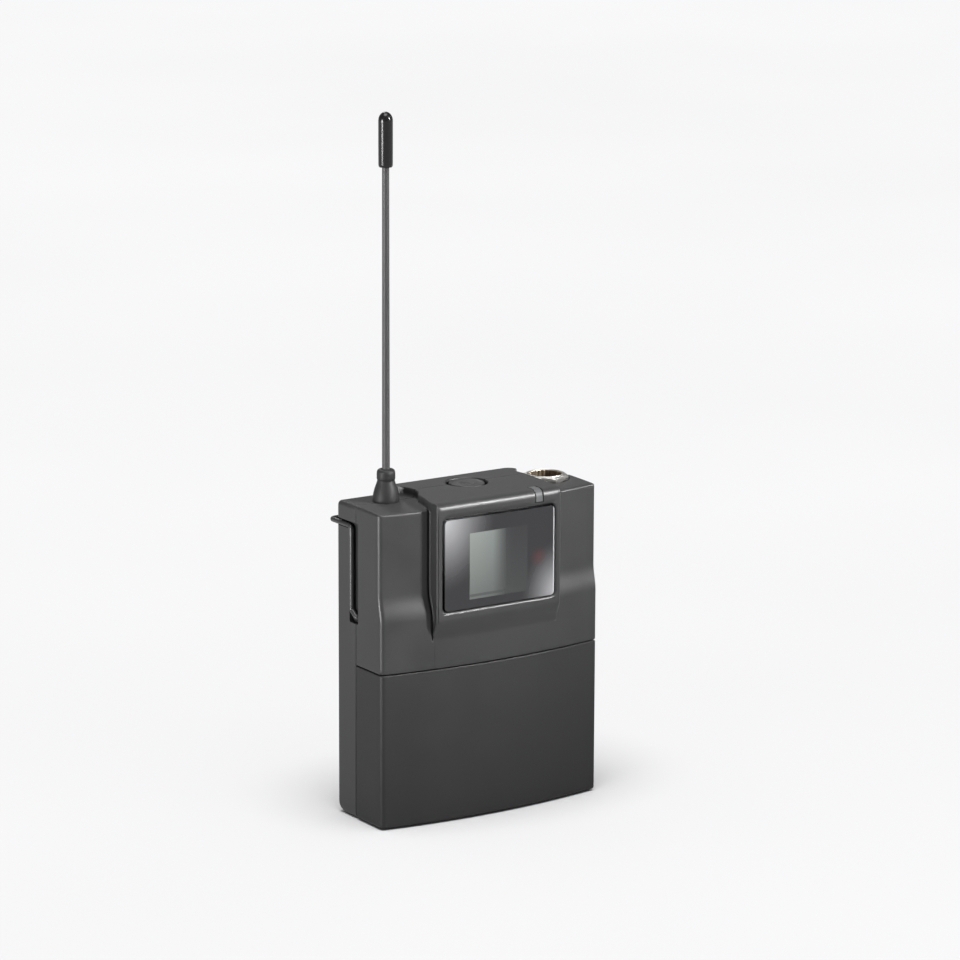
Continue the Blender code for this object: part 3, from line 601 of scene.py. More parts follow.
def ease(low, high, value):
    """0 below `low`, 1 above `high`, and a smooth curve between."""
    t = min(1.0, max(0.0, (value - low) / (high - low)))
    return t * t * (3 - 2 * t)


def quarter(steps):
    """Angles from 0 to a right angle."""
    return [math.pi / 2 * i / steps for i in range(steps + 1)]


def crown(y):
    """How far the rounded top stands above its edges."""
    return CROWN * max(0.0, 1.0 - (y / 16.0) ** 2)


def along_path(path, t):
    """The point at share t of a polyline's length."""
    lengths = [math.dist(a, b) for a, b in zip(path, path[1:])]
    left = t * sum(lengths)
    for (a, b), length in zip(zip(path, path[1:]), lengths):
        if left <= length:
            return (lerp(a[0], b[0], left / length), lerp(a[1], b[1], left / length))
        left -= length
    return path[-1]


def shares(points):
    """How far along the polyline each point is, from 0 to 1."""
    walked = [0.0]
    for a, b in zip(points, points[1:]):
        walked.append(walked[-1] + math.dist(a, b))
    return [w / walked[-1] for w in walked]


# ---------------------------------------------------------------- the two shells' skins
def shoulder_depth(x, z):
    """How far in front of the seam the bowed front face is."""
    level = lerp(LOWER_DEPTH, SHOULDER_DEPTH, ease(61.8, 69.8, z))
    return level + BOW * max(0.0, 1 - (x / (HALF - CORNER)) ** 2)


def side_of_front(z, inset, radius=CORNER):
    """The left side and front corner of the front outline, from the seam to the bow."""
    depth = shoulder_depth(HALF, z) - inset
    wall = HALF - inset
    corner = max(radius - inset, 0.1)
    ys = spaced(SEAM + SEAM_EDGE, depth - corner, SIDE_STEPS)
    points = [(SEAM_EDGE - wall, -SEAM)] + [(-wall, -y) for y in ys]
    return points + arc((corner - wall, corner - depth), corner, 180, 270)[1:]


def front_ring(z, inset):
    """The outline of the front shell at a height, as lists of points: the left side and
    shoulder, the centre block, and the right shoulder and side. From the door up, the groove
    grows (detail), the block slopes out of the shoulder (rise), and the step between them comes
    in (land). Lower down, the groove and the wall's foot lie further right, by `shift`."""
    detail = ease(54.8, 57.0, z)
    land = ease(58.5, 63.5, z)
    rise = ease(55.2, 61.9, z)
    shift = 0.6 * (1 - ease(60.0, 72.0, z))
    open_up = ease(0.0, 0.25, rise)
    left = side_of_front(z, inset)
    for x in spaced(-35.4, shift - 23.0, 12) + [shift - 22.7]:
        left.append((x, inset - shoulder_depth(x, z)))
    for angle in quarter(4)[1:]:
        x = shift - 22.67 + GROOVE_LIP * math.sin(angle)
        left.append((x, inset - shoulder_depth(x, z) + detail * GROOVE_LIP * (1 - math.cos(angle))))
    for profile, share in ((GROOVE, detail), (GROOVE_RISE, land)):
        left += [(x + shift, inset + share * down - shoulder_depth(x, z)) for x, down in profile]
    base = shoulder_depth(CONSOLE_LEFT, z)
    face = lerp(base, CONSOLE_DEPTH, rise)
    edge = min(0.34, 0.5 * (face - base))
    middle = []
    for t in (0.0, 0.35, 0.7, 1.0):
        middle.append((CONSOLE_LEFT + (shift - 0.02) * (1 - t), -lerp(base + 0.32 * land, face - edge, t)))
    for angle in quarter(4)[1:]:
        x = CONSOLE_LEFT + edge * (1 - math.cos(angle))
        middle.append((x, -(face - edge + edge * math.sin(angle))))
    middle = [(lerp(-21.11 + 0.015 * i, x, open_up), y) for i, (x, y) in enumerate(middle)]
    line = 0.16 * ease(60.5, 61.5, z) * (1 - ease(92.0, 93.5, z))
    for x, share in FINE_LINE:
        across = x + shift * (1 - open_up)
        middle.append((across, line * share - lerp(shoulder_depth(across, z), CONSOLE_DEPTH, rise)))
    for x in spaced(-20.1, 20.6, 18):
        middle.append((x, -lerp(shoulder_depth(x, z), CONSOLE_DEPTH, rise)))
    base = shoulder_depth(CONSOLE_RIGHT, z)
    face = lerp(base, CONSOLE_DEPTH, rise)
    edge = min(1.0, 0.5 * (face - base))
    for angle in reversed(quarter(4)):
        x = CONSOLE_RIGHT - edge * (1 - math.cos(angle))
        middle.append((x, -(face - edge + edge * math.sin(angle))))
    right = []
    hollow = min(0.9, 0.45 * (face - base))
    for angle in quarter(4):
        x = CONSOLE_RIGHT + 0.04 + hollow * (1 - math.cos(angle)) + 0.01 * angle
        share = angle / (math.pi / 2)
        right.append((x, inset * share - shoulder_depth(x, z) - hollow * (1 - math.sin(angle))))
    for x in spaced(23.6, 35.4, 11):
        right.append((x, inset - shoulder_depth(x, z)))
    right += [(-x, y) for x, y in reversed(side_of_front(z, inset, RIGHT_CORNER))]
    return left, middle, right


def lifted(points, z):
    return [(x, y, z) for x, y in points]


def crown_rings(block, seam, edges, front, steps=8):
    """Rings over the top of the centre block, from its walls to the seam. `block` is its
    outline, `edges` the rounding at its left, front and right, and `front` the y of its face."""
    left_edge, face_edge, right_edge = edges
    count = len(block)
    low_x, high_x = min(x for x, y in block), max(x for x, y in block)
    part = shares(block)
    radii = []
    for x, y in block:
        at_face = abs(y - seam) > 0.96 * abs(front - seam)
        share = ease(0.0, 1.6, min(x - low_x, high_x - x)) if at_face else 0.0
        radii.append(lerp(left_edge if x < 0 else right_edge, face_edge, share))
    rings = []
    for angle in quarter(steps):
        ring = []
        for (x, y), radius in zip(block, radii):
            back, up = 1 - math.cos(angle), 1 - math.sin(angle)
            share = (x - low_x) / (high_x - low_x)
            px = x + left_edge * back * (1 - share) - right_edge * back * share
            py = seam + (y - seam) * (1 - face_edge * back / abs(front - seam))
            ring.append((px, py, CONSOLE_TOP + crown(py) - radius * up))
        rings.append(ring)
    top = rings[-1]
    for k in (0.3, 0.65, 1.0):
        ring = []
        for i in range(count):
            x = lerp(top[i][0], lerp(top[0][0], top[-1][0], part[i]), k)
            y = lerp(top[i][1], seam, k)
            ring.append((x, y, CONSOLE_TOP + crown(y)))
        rings.append(ring)
    return rings


def shoulder_rings(outline, target, wide):
    """Rings over a shoulder's top, from its outline to `target`, the foot of the centre block's
    wall, and up a concave fillet along that foot. A `wide` fillet narrows towards the front."""
    if wide:
        fillet = ((0.95, 0.0), (0.62, -0.03), (0.5, 0.0), (0.3, 0.12), (0.12, 0.32), (0.03, 0.55),
                  (0.0, 0.8))
    else:
        fillet = ((0.5, 0.0), (0.15, 0.1), (0.0, 0.35))
    flat = fillet[0][0]
    stops = [(0.0, flat, 0.0), (0.35, flat, 0.0), (0.7, flat, 0.0)] + [(1.0, out, up) for out, up in fillet]
    away = -1.0 if target[0][0] < 0 else 1.0
    rings = []
    for share, out, up in stops:
        ring = []
        for (x, y), (wall_x, wall_y) in zip(outline, target):
            reach = out * (1 - 0.8 * ease(12.0, 14.4, -wall_y)) if wide else out
            y = lerp(y, wall_y, share)
            ring.append((lerp(x, wall_x + away * reach, share), y, HEIGHT + crown(y) + up))
        rings.append(ring)
    return rings


def antenna_arc(start, end):
    """The hollow in the block's left wall, round the antenna."""
    return arc(ANTENNA, 9.45, start, end, 8)


def on_wall(path, count, bend):
    """`count` points along a wall, from the seam outwards, closer together towards the end."""
    return [along_path(path, (i / (count - 1)) ** bend) for i in range(count)]


def over_the_top(rings, outline, paths, seam, edges, front):
    """Close a shell's top: its shoulders up to the block's walls, then the block itself. `paths`
    are the feet of the block's left and right walls, from the seam outwards."""
    left, middle, right = outline
    left_wall = on_wall(paths[0], len(left), 0.8)
    right_wall = list(reversed(on_wall(paths[1], len(right), 0.8)))
    over_left = shoulder_rings(left, left_wall, True)
    over_right = shoulder_rings(right, right_wall, False)
    over_right += [over_right[-1]] * (len(over_left) - len(over_right))
    for i, (a, b) in enumerate(zip(over_left, over_right)):
        rings.append(a + lifted(middle, HEIGHT + 0.01 * (i + 1)) + b)
    rings += crown_rings(left_wall + middle + right_wall, seam, edges, front)
    return half_shell(rings)


def front_skin():
    """The front shell from the door's edge up, as rings of one point count."""
    rings = []
    low = DOOR_TOP + GAP / 2
    for z, inset in ((low, 0.25), (low + 0.08, 0.1), (low + 0.25, 0.0)):
        ring = sum(front_ring(z, 0), [])
        rings.append([(x * (1 - inset / HALF), y + inset if y < -1 else y, z) for x, y in ring])
    levels = [48.0, 50.0, 52.0, 53.6, 54.6] + spaced(55.0, 62.2, 22) + spaced(62.8, 72.4, 14)
    levels += [75, 79, 83, 87, 90, 92, HEIGHT - TOP_EDGE]
    rings += [lifted(sum(front_ring(z, 0), []), z) for z in levels]
    for angle in quarter(5)[1:]:
        inset = TOP_EDGE * (1 - math.cos(angle))
        z = HEIGHT - TOP_EDGE * (1 - math.sin(angle))
        share = (z - HEIGHT + TOP_EDGE) / TOP_EDGE
        rings.append([(x, y, z + crown(y) * share) for x, y in sum(front_ring(z, inset), [])])
    left_path = antenna_arc(-4, -42) + [(-20.3, -8.0), (-20.75, -10.6), (-21.35, -13.0), (-21.7, -14.6)]
    left_path[0] = (left_path[0][0], -SEAM)
    right_path = [(CONSOLE_RIGHT, -SEAM), (CONSOLE_RIGHT, -14.6)]
    return over_the_top(rings, front_ring(HEIGHT, TOP_EDGE), (left_path, right_path), -SEAM,
                        (0.75, CONSOLE_EDGE, 1.0), -CONSOLE_DEPTH)


def rear_ring(inset, low_inset=0.0, corner_radius=0.0):
    """The rear shell's outline, as its left part, centre and right part. `low_inset` draws it in
    at the foot of the back, and `corner_radius` rounds the back right corner of the block."""
    wall = HALF - inset - 0.3 * low_inset
    depth = REAR_DEPTH - inset - low_inset
    corner = REAR_CORNER - inset * 0.8
    ys = spaced(SEAM + SEAM_EDGE, depth - corner, 6)
    side = [(SEAM_EDGE - wall, SEAM)] + [(-wall, y) for y in ys]
    side += arc((corner - wall, depth - corner), corner, 180, 90, 8)[1:]
    left = side + [(x, depth) for x in spaced(-35.0, -23.5, 6)]
    right = [(x, depth) for x in spaced(24.9, 35.0, 6)] + [(-x, y) for x, y in reversed(side)]
    depth = REAR_DEPTH - low_inset
    if corner_radius:
        turn = CROWN_RIGHT - corner_radius
        middle = [(x, depth) for x in spaced(-23.0, turn, 14)]
        middle += arc((turn, depth - corner_radius), corner_radius, 90, 0, 6)[1:]
    else:
        middle = [(x, depth) for x in spaced(-23.0, 20.0, 14) + [21.0, 22.0, 22.8, 23.5, 24.0, 24.5]]
    return left, middle, right


def rear_skin():
    """The rear shell from its foot up, as rings of one point count."""
    rings = []
    for angle in quarter(7):
        ring = sum(rear_ring(0, REAR_FOOT_EDGE * (1 - math.sin(angle))), [])
        rings.append(lifted(ring, REAR_FOOT_EDGE * (1 - math.cos(angle))))
    for z in (12, 30, 50, 70, 85, HEIGHT - REAR_TOP_EDGE):
        rings.append(lifted(sum(rear_ring(0), []), z))
    for angle in quarter(5)[1:]:
        inset = REAR_TOP_EDGE * (1 - math.cos(angle))
        z = HEIGHT - REAR_TOP_EDGE * (1 - math.sin(angle))
        share = (z - HEIGHT + REAR_TOP_EDGE) / REAR_TOP_EDGE
        rings.append([(x, y, z + crown(y) * share) for x, y in sum(rear_ring(inset), [])])
    left_path = antenna_arc(-3, 52) + [(-21.7, 8.6), (-22.3, 9.2)]
    left_path[0] = (left_path[0][0], SEAM)
    right_path = [(CONSOLE_RIGHT, SEAM), (21.7, 2.2), (21.5, 4.0), (21.7, 5.2), (22.4, 6.2), (23.4, 7.3)]
    return over_the_top(rings, rear_ring(REAR_TOP_EDGE, 0.0, CROWN_CORNER), (left_path, right_path), SEAM,
                        (0.75, 1.1, 1.0), REAR_DEPTH)


def both_sides(name, outline, near, far):
    """A left and a right prism, from `near` to `far` on either side of the middle."""
    return [prism(name, outline, "X", *sorted((sign * near, sign * far))) for sign in (-1, 1)]


def shared_cutters():
    """Openings that both shells share across the parting plane."""
    top = CONSOLE_TOP + 5
    well = [(0, 94.0), (WELL_RADIUS, 94.0), (WELL_RADIUS, 95.0), (6.2, 96.1), (6.3, 96.4), (6.5, 96.62),
            (6.8, 96.75), (7.2, 97.6), (0, 97.6)]
    channel = rounded_rectangle(-1.4, 3.3, 59.0, CHANNEL_TOP, 0.6, 5)
    return [
        turned("well", well, BUTTON, 72),
        rod("stem", "Z", BUTTON, 2.4, 85, 96),
        rod("connector_hole", "Z", CONNECTOR, 5.6, 88, top, 64),
        rod("antenna_hole", "Z", ANTENNA, 2.6, 90, top, 40),
        rod("pivot", "X", (0, PIVOT_Z), 1.05, -OUTSIDE, OUTSIDE, 24),
        *both_sides("channel", channel, CHANNEL_FLOOR, OUTSIDE),
    ]


def connector_pocket():
    """Room for the connector's hexagon nut in the right shoulder and the block's wall."""
    return rod("nut_pocket", "Z", CONNECTOR, 7.25, HEIGHT - 0.3, 110, 72)


def bowed_cavity(wall, levels):
    """The room inside a bowed front wall. `levels` are its heights, with its depth at each."""
    inner = HALF - wall
    rings = []
    for z, depth in levels:
        front = [(x, -depth - 3.0 * (1 - (x / inner) ** 2)) for x in spaced(-inner, inner, 15)]
        rings.append(lifted([(-inner, 5.0)] + front + [(inner, 5.0)], z))
    return solid("cavity", loft(rings))


def bosses(shell, low, high):
    """Posts for the housing screws, joined one by one. Gives back each post's (x, z)."""
    for x in (-BOSS_X, BOSS_X):
        for z in BOSS_HEIGHTS:
            join(shell, rod("boss", "Y", (x, z), 2.8, low, high, 24))
            yield x, z


def window_recess():
    """The window's recess, with an edge that flares out to the block's face."""
    wide, high = RECESS_HALF_WIDE, RECESS_HALF_HIGH
    outline = rounded_rectangle(-wide, wide, -high, high, 1.68)
    rings = []
    for y, grow in ((-30, 0.42), (-19.2, 0.42), (-18.85, 0.36), (-18.7, 0.14), (-18.52, 0.0), (-17.15, 0.0)):
        grown = [(x * (1 + grow / wide), z * (1 + grow / high)) for x, z in outline]
        rings.append([(x, y, RECESS_MIDDLE + z) for x, z in grown])
    return solid("window_recess", loft(rings))


def build_front():
    shell = solid("front_shell", front_skin())
    right = CONSOLE_RIGHT - 2
    block = [(BLOCK_CAVITY_LEFT, 5), (-19.0, -15.9), (right, -15.9), (right, 5)]
    cut(shell, bowed_cavity(WALL, ((40, 12.2), (61, 12.2), (70, 11.0), (92, 11.0))),
        prism("block_cavity", block, "Z", 62.5, BLOCK_CAVITY_TOP))
    for spot in bosses(shell, -12.5, -SEAM):
        cut(shell, rod("pilot", "Y", spot, 1.3, -9, 5, 16))
    cut(shell, window_recess(), prism("view", rounded_rectangle(-17, 17, 66, 89.4, 1.0), "Y", -30, -10),
        prism("pipe_slot", pipe_outline(0.25, 8.0), "X", PIPE_X - 1.45, PIPE_X + 1.55))
    cut(shell, *shared_cutters(), connector_pocket())
    piece(shell, "case_plastic", "case", ["front_housing"])


def pipe_outline(grow, out):
    """Side view of the light guide over the block's top front edge. `out` runs it past the
    surface to make the slot that it sits in."""
    front, top = -CONSOLE_DEPTH - out, CONSOLE_TOP + out + 0.15
    centre = (CONSOLE_EDGE - CONSOLE_DEPTH, CONSOLE_TOP - CONSOLE_EDGE + 0.02)
    nose = [(front, top)] if out else arc(centre, CONSOLE_EDGE + 0.05, 180, 90, 10)
    foot = 92.75 - grow
    low, high = -16.6 - grow, grow - 14.6
    foremost = front if out else -CONSOLE_DEPTH - 0.05
    highest = top if out else CONSOLE_TOP + 0.07
    return [(low, 90.5), (low, foot), (foremost, foot)] + nose + [(high, highest), (high, 90.5)]


def build_rear():
    shell = solid("rear_shell", rear_skin())
    inner = HALF - WALL
    cut(shell, box("cavity", (-inner, -5, 2), (inner, 8.25, 92)),
        box("crown_cavity", (BLOCK_CAVITY_LEFT, -5, 80), (CONSOLE_RIGHT - 2, 8.0, BLOCK_CAVITY_TOP)))
    head = [(0, 8.0), (2.45, 8.0), (2.45, 9.95), (2.75, 10.45), (3.0, 12), (0, 12)]
    for spot in bosses(shell, SEAM, 9.2):
        cut(shell, rod("hole", "Y", spot, 1.3, -5, 20, 20), turned("head", head, spot, 32, "Y"))
    for spot in TRAY_SCREWS:
        join(shell, rod("tray_boss", "Y", spot, 1.9, 3.0, 9.2, 20))
        cut(shell, rod("tray_pilot", "Y", spot, 1.1, -5, 9.0, 16))
    label = rounded_rectangle(-24.0, 24.0, 13.0, 43.0, 2.0)
    cut(shell, prism("label_recess", label, "Y", REAR_DEPTH - 0.35, 20))
    exit_slot = rounded_rectangle(1.0, 20.0, 86.95, CHANNEL_TOP, 0.7, 4)
    cut(shell, *both_sides("clip_exit", exit_slot, CHANNEL_FLOOR, OUTSIDE))
    cut(shell, *shared_cutters(), connector_pocket())
    piece(shell, "case_plastic", "case", ["rear_housing"])


def door_ring(z, inset):
    """The door's outline, which is the same at every height but for its inset."""
    left = side_of_front(50.0, inset)
    right = [(-x, y) for x, y in reversed(side_of_front(50.0, inset, RIGHT_CORNER))]
    depth = shoulder_depth(HALF, 50.0) - inset
    xs = spaced(-35.4, 35.4, 29)
    front = [(x, -(depth + BOW * max(0.0, 1 - (x / (HALF - CORNER)) ** 2))) for x in xs]
    return lifted(left + front + right, z)


def build_door():
    rings = [door_ring(1.0 - math.sin(angle), 1 - math.cos(angle)) for angle in reversed(quarter(5))]
    rings += [door_ring(z, 0) for z in (6.0, 20.0, 34.0, DOOR_TOP - 0.45)]
    rings += [door_ring(DOOR_TOP - 0.3, 0.06), door_ring(DOOR_TOP - 0.15, 0.22)]
    door = solid("door_shell", loft(rings))
    cut(door, bowed_cavity(DOOR_WALL, ((2.0, 12.2), (DOOR_TOP + 5, 12.2))))
    join(door, *both_sides("rail", rounded_rectangle(-4.8, -3.2, 34.0, 44.0, 0.6, 4), 33.2, 36.5))
    piece(door, "door_plastic", "door", ["battery_door"])


def build_window():
    rings = []
    for y, inset in ((-17.45, 0.0), (-18.5, 0.0), (-18.66, 0.05), (-18.75, 0.16)):
        outline = rounded_rectangle(inset - 19.0, 19.45 - inset, 63.9 + inset, 91.1 - inset, 1.3 - inset)
        rings.append([place("Y", y, x, z) for x, z in outline])
    pane = solid("window_pane", loft(rings))
    piece(pane, "window_print_and_painted_light", "case", ["display_window"])


def build_pipe():
    guide = prism("light_guide", pipe_outline(0.0, 0.0), "X", PIPE_X - PIPE_HALF, PIPE_X + PIPE_HALF)
    soften(guide, 0.12)
    piece(guide, "clear_plastic", "case", ["light_pipe"])


def build_button():
    profile = [(0, 91.6), (2.0, 91.6), (2.0, 95.0), (5.2, 95.0), (5.3, 95.1), (5.35, 96.15),
               (5.29, 96.42), (5.14, 96.56), (4.94, 96.6), (4.72, 96.53), (4.5, 96.38), (4.2, 96.3),
               (2.9, 96.27), (2.7, 96.32), (2.5, 96.42), (2.3, 96.43), (2.1, 96.36), (1.95, 96.26),
               (0, 96.22)]
    cap = turned("power_cap", profile, BUTTON, 72)
    piece(cap, "button_plastic", "button", ["power_button"])
    x, y = BUTTON
    mark_z, mark_radius = 96.19, 0.16
    ring = lifted(arc(BUTTON, 1.2, 125, 415, 24), mark_z)
    bar = lifted([(x, y + 0.2), (x, y + 0.9), (x, y + 1.6)], mark_z)
    piece(sweep("power_mark_ring", ring, mark_radius, 8), "button_plastic", "button")
    piece(sweep("power_mark_bar", bar, mark_radius, 8), "button_plastic", "button")
    profile = [(2.6, 93.6), (6.08, 93.6), (6.08, 93.85), (5.8, 94.02), (3.0, 94.02), (2.6, 93.9)]
    piece(turned("button_well_floor", profile, BUTTON, 64), "chassis_plastic", "case")


def hexagon(angle):
    """How far out the nut's hexagon reaches at an angle. It has a corner at NUT_CORNER."""
    turn = (math.degrees(angle) - NUT_CORNER) % 60.0 - 30.0
    return NUT_FLAT / math.cos(math.radians(turn))


def socket_liner():
    """The sleeve inside the socket, with flutes that are three points wide."""
    count = 144
    bm = bmesh.new()
    loops = []
    for z, inner in ((86.2, 4.55), (95.3, 4.55), (95.6, 4.67), (95.6, None), (86.2, None)):
        loop = []
        for i in range(count):
            radius = inner + (0.16 if (i // 3) % 2 else 0.0) if inner else 4.86
            loop.append(bm.verts.new((*around(CONNECTOR, radius, 2 * math.pi * i / count), z)))
        loops.append(loop)
    for low, high in zip(loops, loops[1:] + loops[:1]):
        belt(bm, low, high)
    return solid("socket_liner", bm)


def build_connector():
    profile = [(4.95, 86.2), (5.3, 86.2), (5.3, 89.7), (5.85, 89.7), (5.85, 91.7), (5.3, 91.7), (5.3, 95.55),
               (5.26, 95.75), (5.18, 95.86), (5.08, 95.9), (5.0, 95.86), (4.93, 95.72), (4.9, 95.5)]
    piece(turned("socket_tube", profile, CONNECTOR, 96), "nickel", "case", ["connector_shell"])
    profile = [(5.36, 94.0), (6.6, 94.0), (6.95, 94.15), (6.95, 94.85), (6.75, 95.2), (6.3, 95.52),
               (5.95, 95.68), (5.8, 95.72), (5.5, 95.72), (5.36, 95.6)]
    nut = turned("socket_nut", profile, CONNECTOR, 96, limit=hexagon, start=math.radians(NUT_CORNER))
    piece(nut, "nickel", "case", ["connector_nut"], angle=28.0)
    piece(socket_liner(), "socket_brass", "case")
    profile = [(0, 81.5), (4.5, 81.5), (4.5, 85.7), (4.3, 86.0), (3.9, 86.0), (3.8, 85.8), (0, 85.8)]
    insert = turned("socket_insert", profile, CONNECTOR, 64)
    profile = [(0, 78.5), (0.45, 78.5), (0.45, 90.8), (0.4, 91.1), (0.27, 91.33), (0, 91.4)]
    for i, spot in enumerate(arc(CONNECTOR, 2.3, 90, 330, 2), start=1):
        cut(insert, rod("pin_hole", "Z", spot, 0.75, 70, 100, 24))
        pin = turned(f"socket_pin_{i}", profile, spot, 24)
        piece(pin, "gold_contact", "case", [f"connector_pin_{i}"])
    piece(insert, "insulator", "case", ["connector_insert"])


def build_antenna():
    whip = [(0, 86.0), (1.15, 86.0), (1.12, 120.0), (1.06, 160.0), (1.02, 205.0), (0, 205.5)]
    piece(turned("whip_rod", whip, ANTENNA, 32), "whip_sleeve", "case", ["antenna_whip"])
    cap = [(0, 205.8), (1.2, 205.8), (1.2, 192.6), (1.5, 192.5), (1.85, 192.55), (2.03, 192.8),
           (2.1, 193.3), (2.12, 198.0), (2.12, 205.4)]
    cap += [(2.12 * math.cos(a), 205.9 + 2.6 * math.sin(a)) for a in quarter(8)][:-1] + [(0, 208.5)]
    piece(turned("whip_cap", cap, ANTENNA, 48), "tip_rubber", "case", ["antenna_tip_cap"])
    boot = [(1.2, 94.05), (3.6, 94.05), (3.85, 94.25), (3.95, 94.7), (3.94, 95.3), (3.82, 96.2),
            (3.6, 97.3), (3.35, 98.2), (3.1, 98.9), (2.88, 99.5), (2.72, 100.0), (2.6, 100.4),
            (2.54, 100.65), (2.56, 100.85), (2.68, 101.0), (2.72, 101.3), (2.72, 102.6), (2.66, 103.2),
            (2.48, 103.65), (2.15, 103.9), (1.7, 104.0), (1.4, 103.9), (1.2, 103.6)]
    boot = turned("whip_boot", boot, ANTENNA, 56)
    piece(boot, "whip_rubber", "case", ["antenna_boot"], weighted=False)


def build_clip():
    """One bent wire: from a pivot up its channel, across the back, down the loop and back."""
    half = [(35.0, 0, PIVOT_Z), (WIRE_X, 0, PIVOT_Z), (WIRE_X, 2.95, 62.6), (WIRE_X, 2.95, CLIP_TOP),
            (WIRE_X, 14.2, CLIP_TOP), (16.0, 14.2, CLIP_TOP), (16.0, 11.4, 34.0), (14.0, 13.2, 25.0)]
    corners = half + [(-x, y, z) for x, y, z in reversed(half)]
    wire = sweep("clip_wire_loop", rounded_path(corners, 1.3), WIRE_RADIUS, 16)
    piece(wire, "clip_wire", "clip", ["belt_clip"], weighted=False)


def screws(name, stands_for, spots, profile, low, high):
    """Screws along Y, with a cross recess in the head from `low` to `high`."""
    for i, (x, z) in enumerate(spots, start=1):
        screw = turned(f"{name}_{i}", profile, (x, z), 32, "Y")
        for wide, tall in ((1.15, 0.22), (0.22, 1.15)):
            cut(screw, box("cross", (x - wide, low, z - tall), (x + wide, high, z + tall)))
        piece(screw, "steel", "case", [f"{stands_for}_{i}"])


def build_screws():
    rear = [(0, -7.0), (1.0, -7.0), (1.0, 8.35), (2.25, 8.35), (2.3, 8.75), (2.2, 9.25), (1.8, 9.65),
            (1.0, 9.85), (0, 9.9)]
    tray = [(0, 7.0), (0.8, 7.0), (0.8, -8.3), (1.8, -8.3), (1.82, -8.9), (1.6, -9.4), (0.8, -9.6),
            (0, -9.62)]
    corners = [(x, z) for z in BOSS_HEIGHTS for x in (-BOSS_X, BOSS_X)]
    screws("rear_screw", "housing_screw", corners, rear, 8.9, 12.0)
    screws("tray_screw", "chassis_screw", TRAY_SCREWS, tray, -12.0, -8.8)


def spring_path(side, z):
    """A conical spring of three turns between a cell's flat end and its contact."""
    path = []
    for t in spaced(0.0, 1.0, 73):
        radius, angle = 2.4 + 2.4 * t, 6 * math.pi * t
        y = CELL_Y + radius * math.cos(angle)
        path.append((-side * (23.6 + 3.6 * t), y, z + radius * math.sin(angle)))
    return path


def build_cells():
    """Two AA cells that lie across, and point opposite ways, each with its spring."""
    end = CELL_LENGTH
    outline = [(0, 0), (2.55, 0), (2.75, 0.2), (2.75, 1.0), (5.9, 1.0), (6.1, 1.3), (6.6, 1.3), (6.75, 1.0),
               (7.05, 1.05), (CELL_RADIUS, 1.35), (CELL_RADIUS, 20), (CELL_RADIUS, end - 0.4),
               (7.1, end - 0.1), (6.7, end), (6.5, end - 0.1), (0, end - 0.1)]
    for name, z, side in (("upper", 32.6, -1), ("lower", 16.0, 1)):
        profile = [(radius, side * (27.5 - back)) for radius, back in outline]
        cell = turned(f"cell_{name}", profile, (CELL_Y, z), 72, "X")
        piece(cell, "cell_wrap", "case", [f"battery_{name}"])
        cell.data.materials.append(MATERIALS["nickel"])
        for face in cell.data.polygons:
            middle = face.center
            across = math.hypot(middle.y - (SEAM_Y + CELL_Y) * MM, middle.z - z * MM)
            if across < 6.3 * MM:
                face.material_index = 1
        spring = sweep(f"cell_spring_{name}", spring_path(side, z), 0.3, 10)
        piece(spring, "steel", "case", [f"battery_spring_{name}"], weighted=False)


# ---------------------------------------------------------------- pieces
build_front()
build_rear()
build_door()
build_window()
build_pipe()
build_button()
build_connector()
build_antenna()
build_clip()
build_screws()
build_cells()

# The nodes that stay as the CAD made them, by the material that each gets.
KEPT = {
    "chassis_plastic": ("battery_chassis",),
    "board_green": ("main_board", "display_board", "button_board"),
    "nickel": ("rf_shield", "antenna_ferrule", "contact_left_lower", "contact_left_upper",
               "contact_right_lower", "contact_right_upper"),
    "gold_contact": ("antenna_contact",),
    "lcd_glass": ("lcd_module",),
    "ir_red": ("ir_filter",),
    "insulator": ("ir_transceiver", "tact_switch"),
    "clear_plastic": ("status_led",),
    "steel": ("switch_plunger",),
}
for material, names in KEPT.items():
    for name in names:
        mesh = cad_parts[name].data
        mesh.materials.clear()
        mesh.materials.append(MATERIALS[material])
        soften(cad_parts[name], 0.3 if name == "battery_chassis" else 0.12)


# ---------------------------------------------------------------- stage, light and camera
def build_stage():
    """A white floor, a hair below the object's lowest point."""
    bm = bmesh.new()
    bmesh.ops.create_grid(bm, x_segments=8, y_segments=8, size=6.0)
    mesh = bpy.data.meshes.new("floor")
    bm.to_mesh(mesh)
    bm.free()
    floor = bpy.data.objects.new("floor", mesh)
    floor.location.z = -0.0004
    bpy.context.scene.collection.objects.link(floor)
    mesh.materials.append(floor_material())


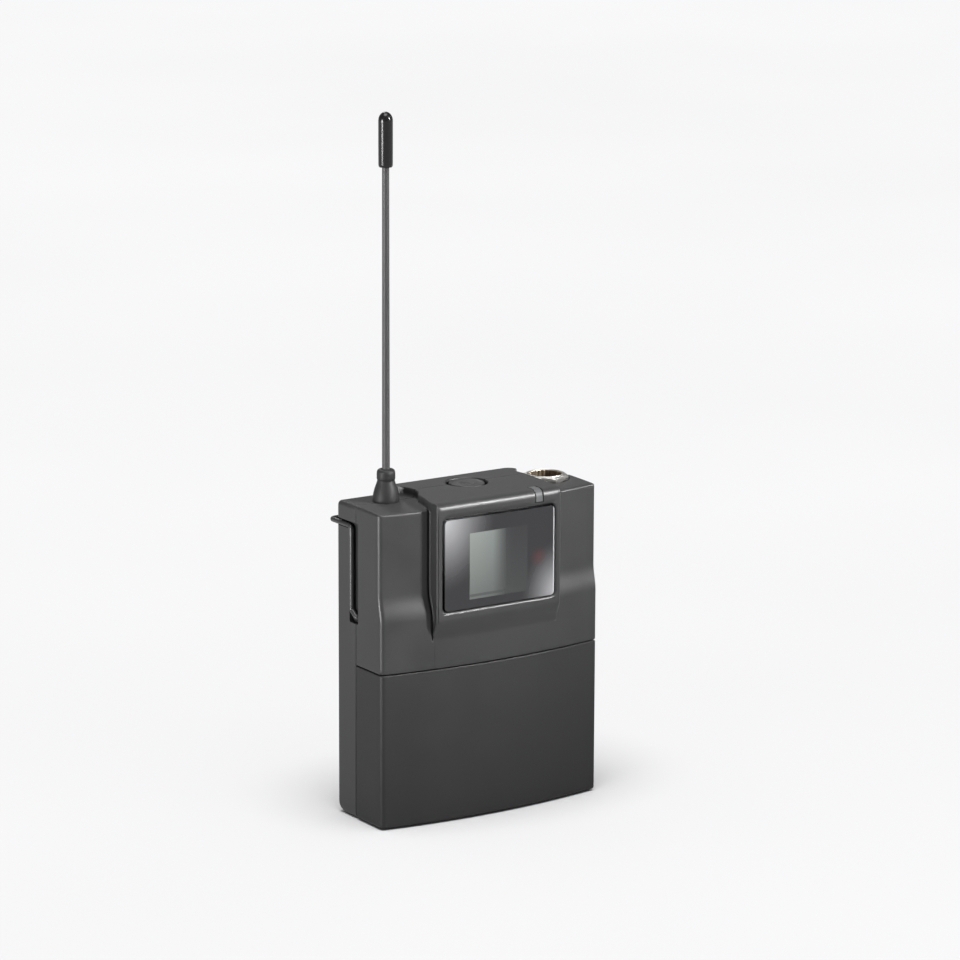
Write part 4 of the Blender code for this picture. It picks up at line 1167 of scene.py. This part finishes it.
def spot_light(name, stand, aim, power, cone, radius):
    """A snooted round light: its cone fades out towards the foot of the object."""
    light = bpy.data.lights.new(name, "SPOT")
    light.energy = power
    light.spot_size = math.radians(cone)
    light.spot_blend = 1.0
    light.shadow_soft_size = radius
    holder = bpy.data.objects.new(name, light)
    holder.location = stand
    holder.rotation_euler = (Vector(aim) - Vector(stand)).to_track_quat("-Z", "Y").to_euler()
    bpy.context.scene.collection.objects.link(holder)
    unlit = bpy.data.collections.new(f"{name}_unlit")
    unlit.objects.link(bpy.data.objects["floor"])
    unlit.collection_objects[0].light_linking.link_state = "EXCLUDE"
    holder.light_linking.receiver_collection = unlit


def build_light():
    """An even white world, a wide overhead light, and the round lights."""
    world = bpy.data.worlds.new("studio")
    world.use_nodes = True
    background = world.node_tree.nodes["Background"]
    background.inputs["Color"].default_value = (1.0, 1.0, 1.0, 1.0)
    background.inputs["Strength"].default_value = 0.30
    bpy.context.scene.world = world
    sun = bpy.data.objects.new("overhead", bpy.data.lights.new("overhead", "SUN"))
    sun.data.energy = 3.3
    sun.data.angle = math.radians(40)
    sun.rotation_euler = Vector((0.10, 0.16, -1.0)).to_track_quat("-Z", "Y").to_euler()
    bpy.context.scene.collection.objects.link(sun)
    for settings in SPOTS:
        spot_light(*settings)


def build_camera():
    """The photo's camera, from its place and its angles."""
    camera = bpy.data.objects.new("camera", bpy.data.cameras.new("camera"))
    bpy.context.scene.collection.objects.link(camera)
    level = math.cos(CAMERA_TILT)
    back = Vector((-math.sin(CAMERA_TURN) * level, -math.cos(CAMERA_TURN) * level, math.sin(CAMERA_TILT)))
    right = Vector((math.cos(CAMERA_TURN), -math.sin(CAMERA_TURN), 0.0))
    up = back.cross(right)
    rolled_right = right * math.cos(CAMERA_ROLL) - up * math.sin(CAMERA_ROLL)
    rolled_up = right * math.sin(CAMERA_ROLL) + up * math.cos(CAMERA_ROLL)
    axes = Matrix((rolled_right, rolled_up, back)).transposed()
    x, y, z = CAMERA
    camera.matrix_world = Matrix.Translation(Vector((x, y + SEAM_Y, z)) * MM) @ axes.to_4x4()
    camera.data.lens = CAMERA_LENS
    camera.data.sensor_width = 36.0
    camera.data.clip_end = 50.0
    bpy.context.scene.camera = camera


build_stage()
build_light()
build_camera()
bpy.context.scene.view_settings.view_transform = "Standard"
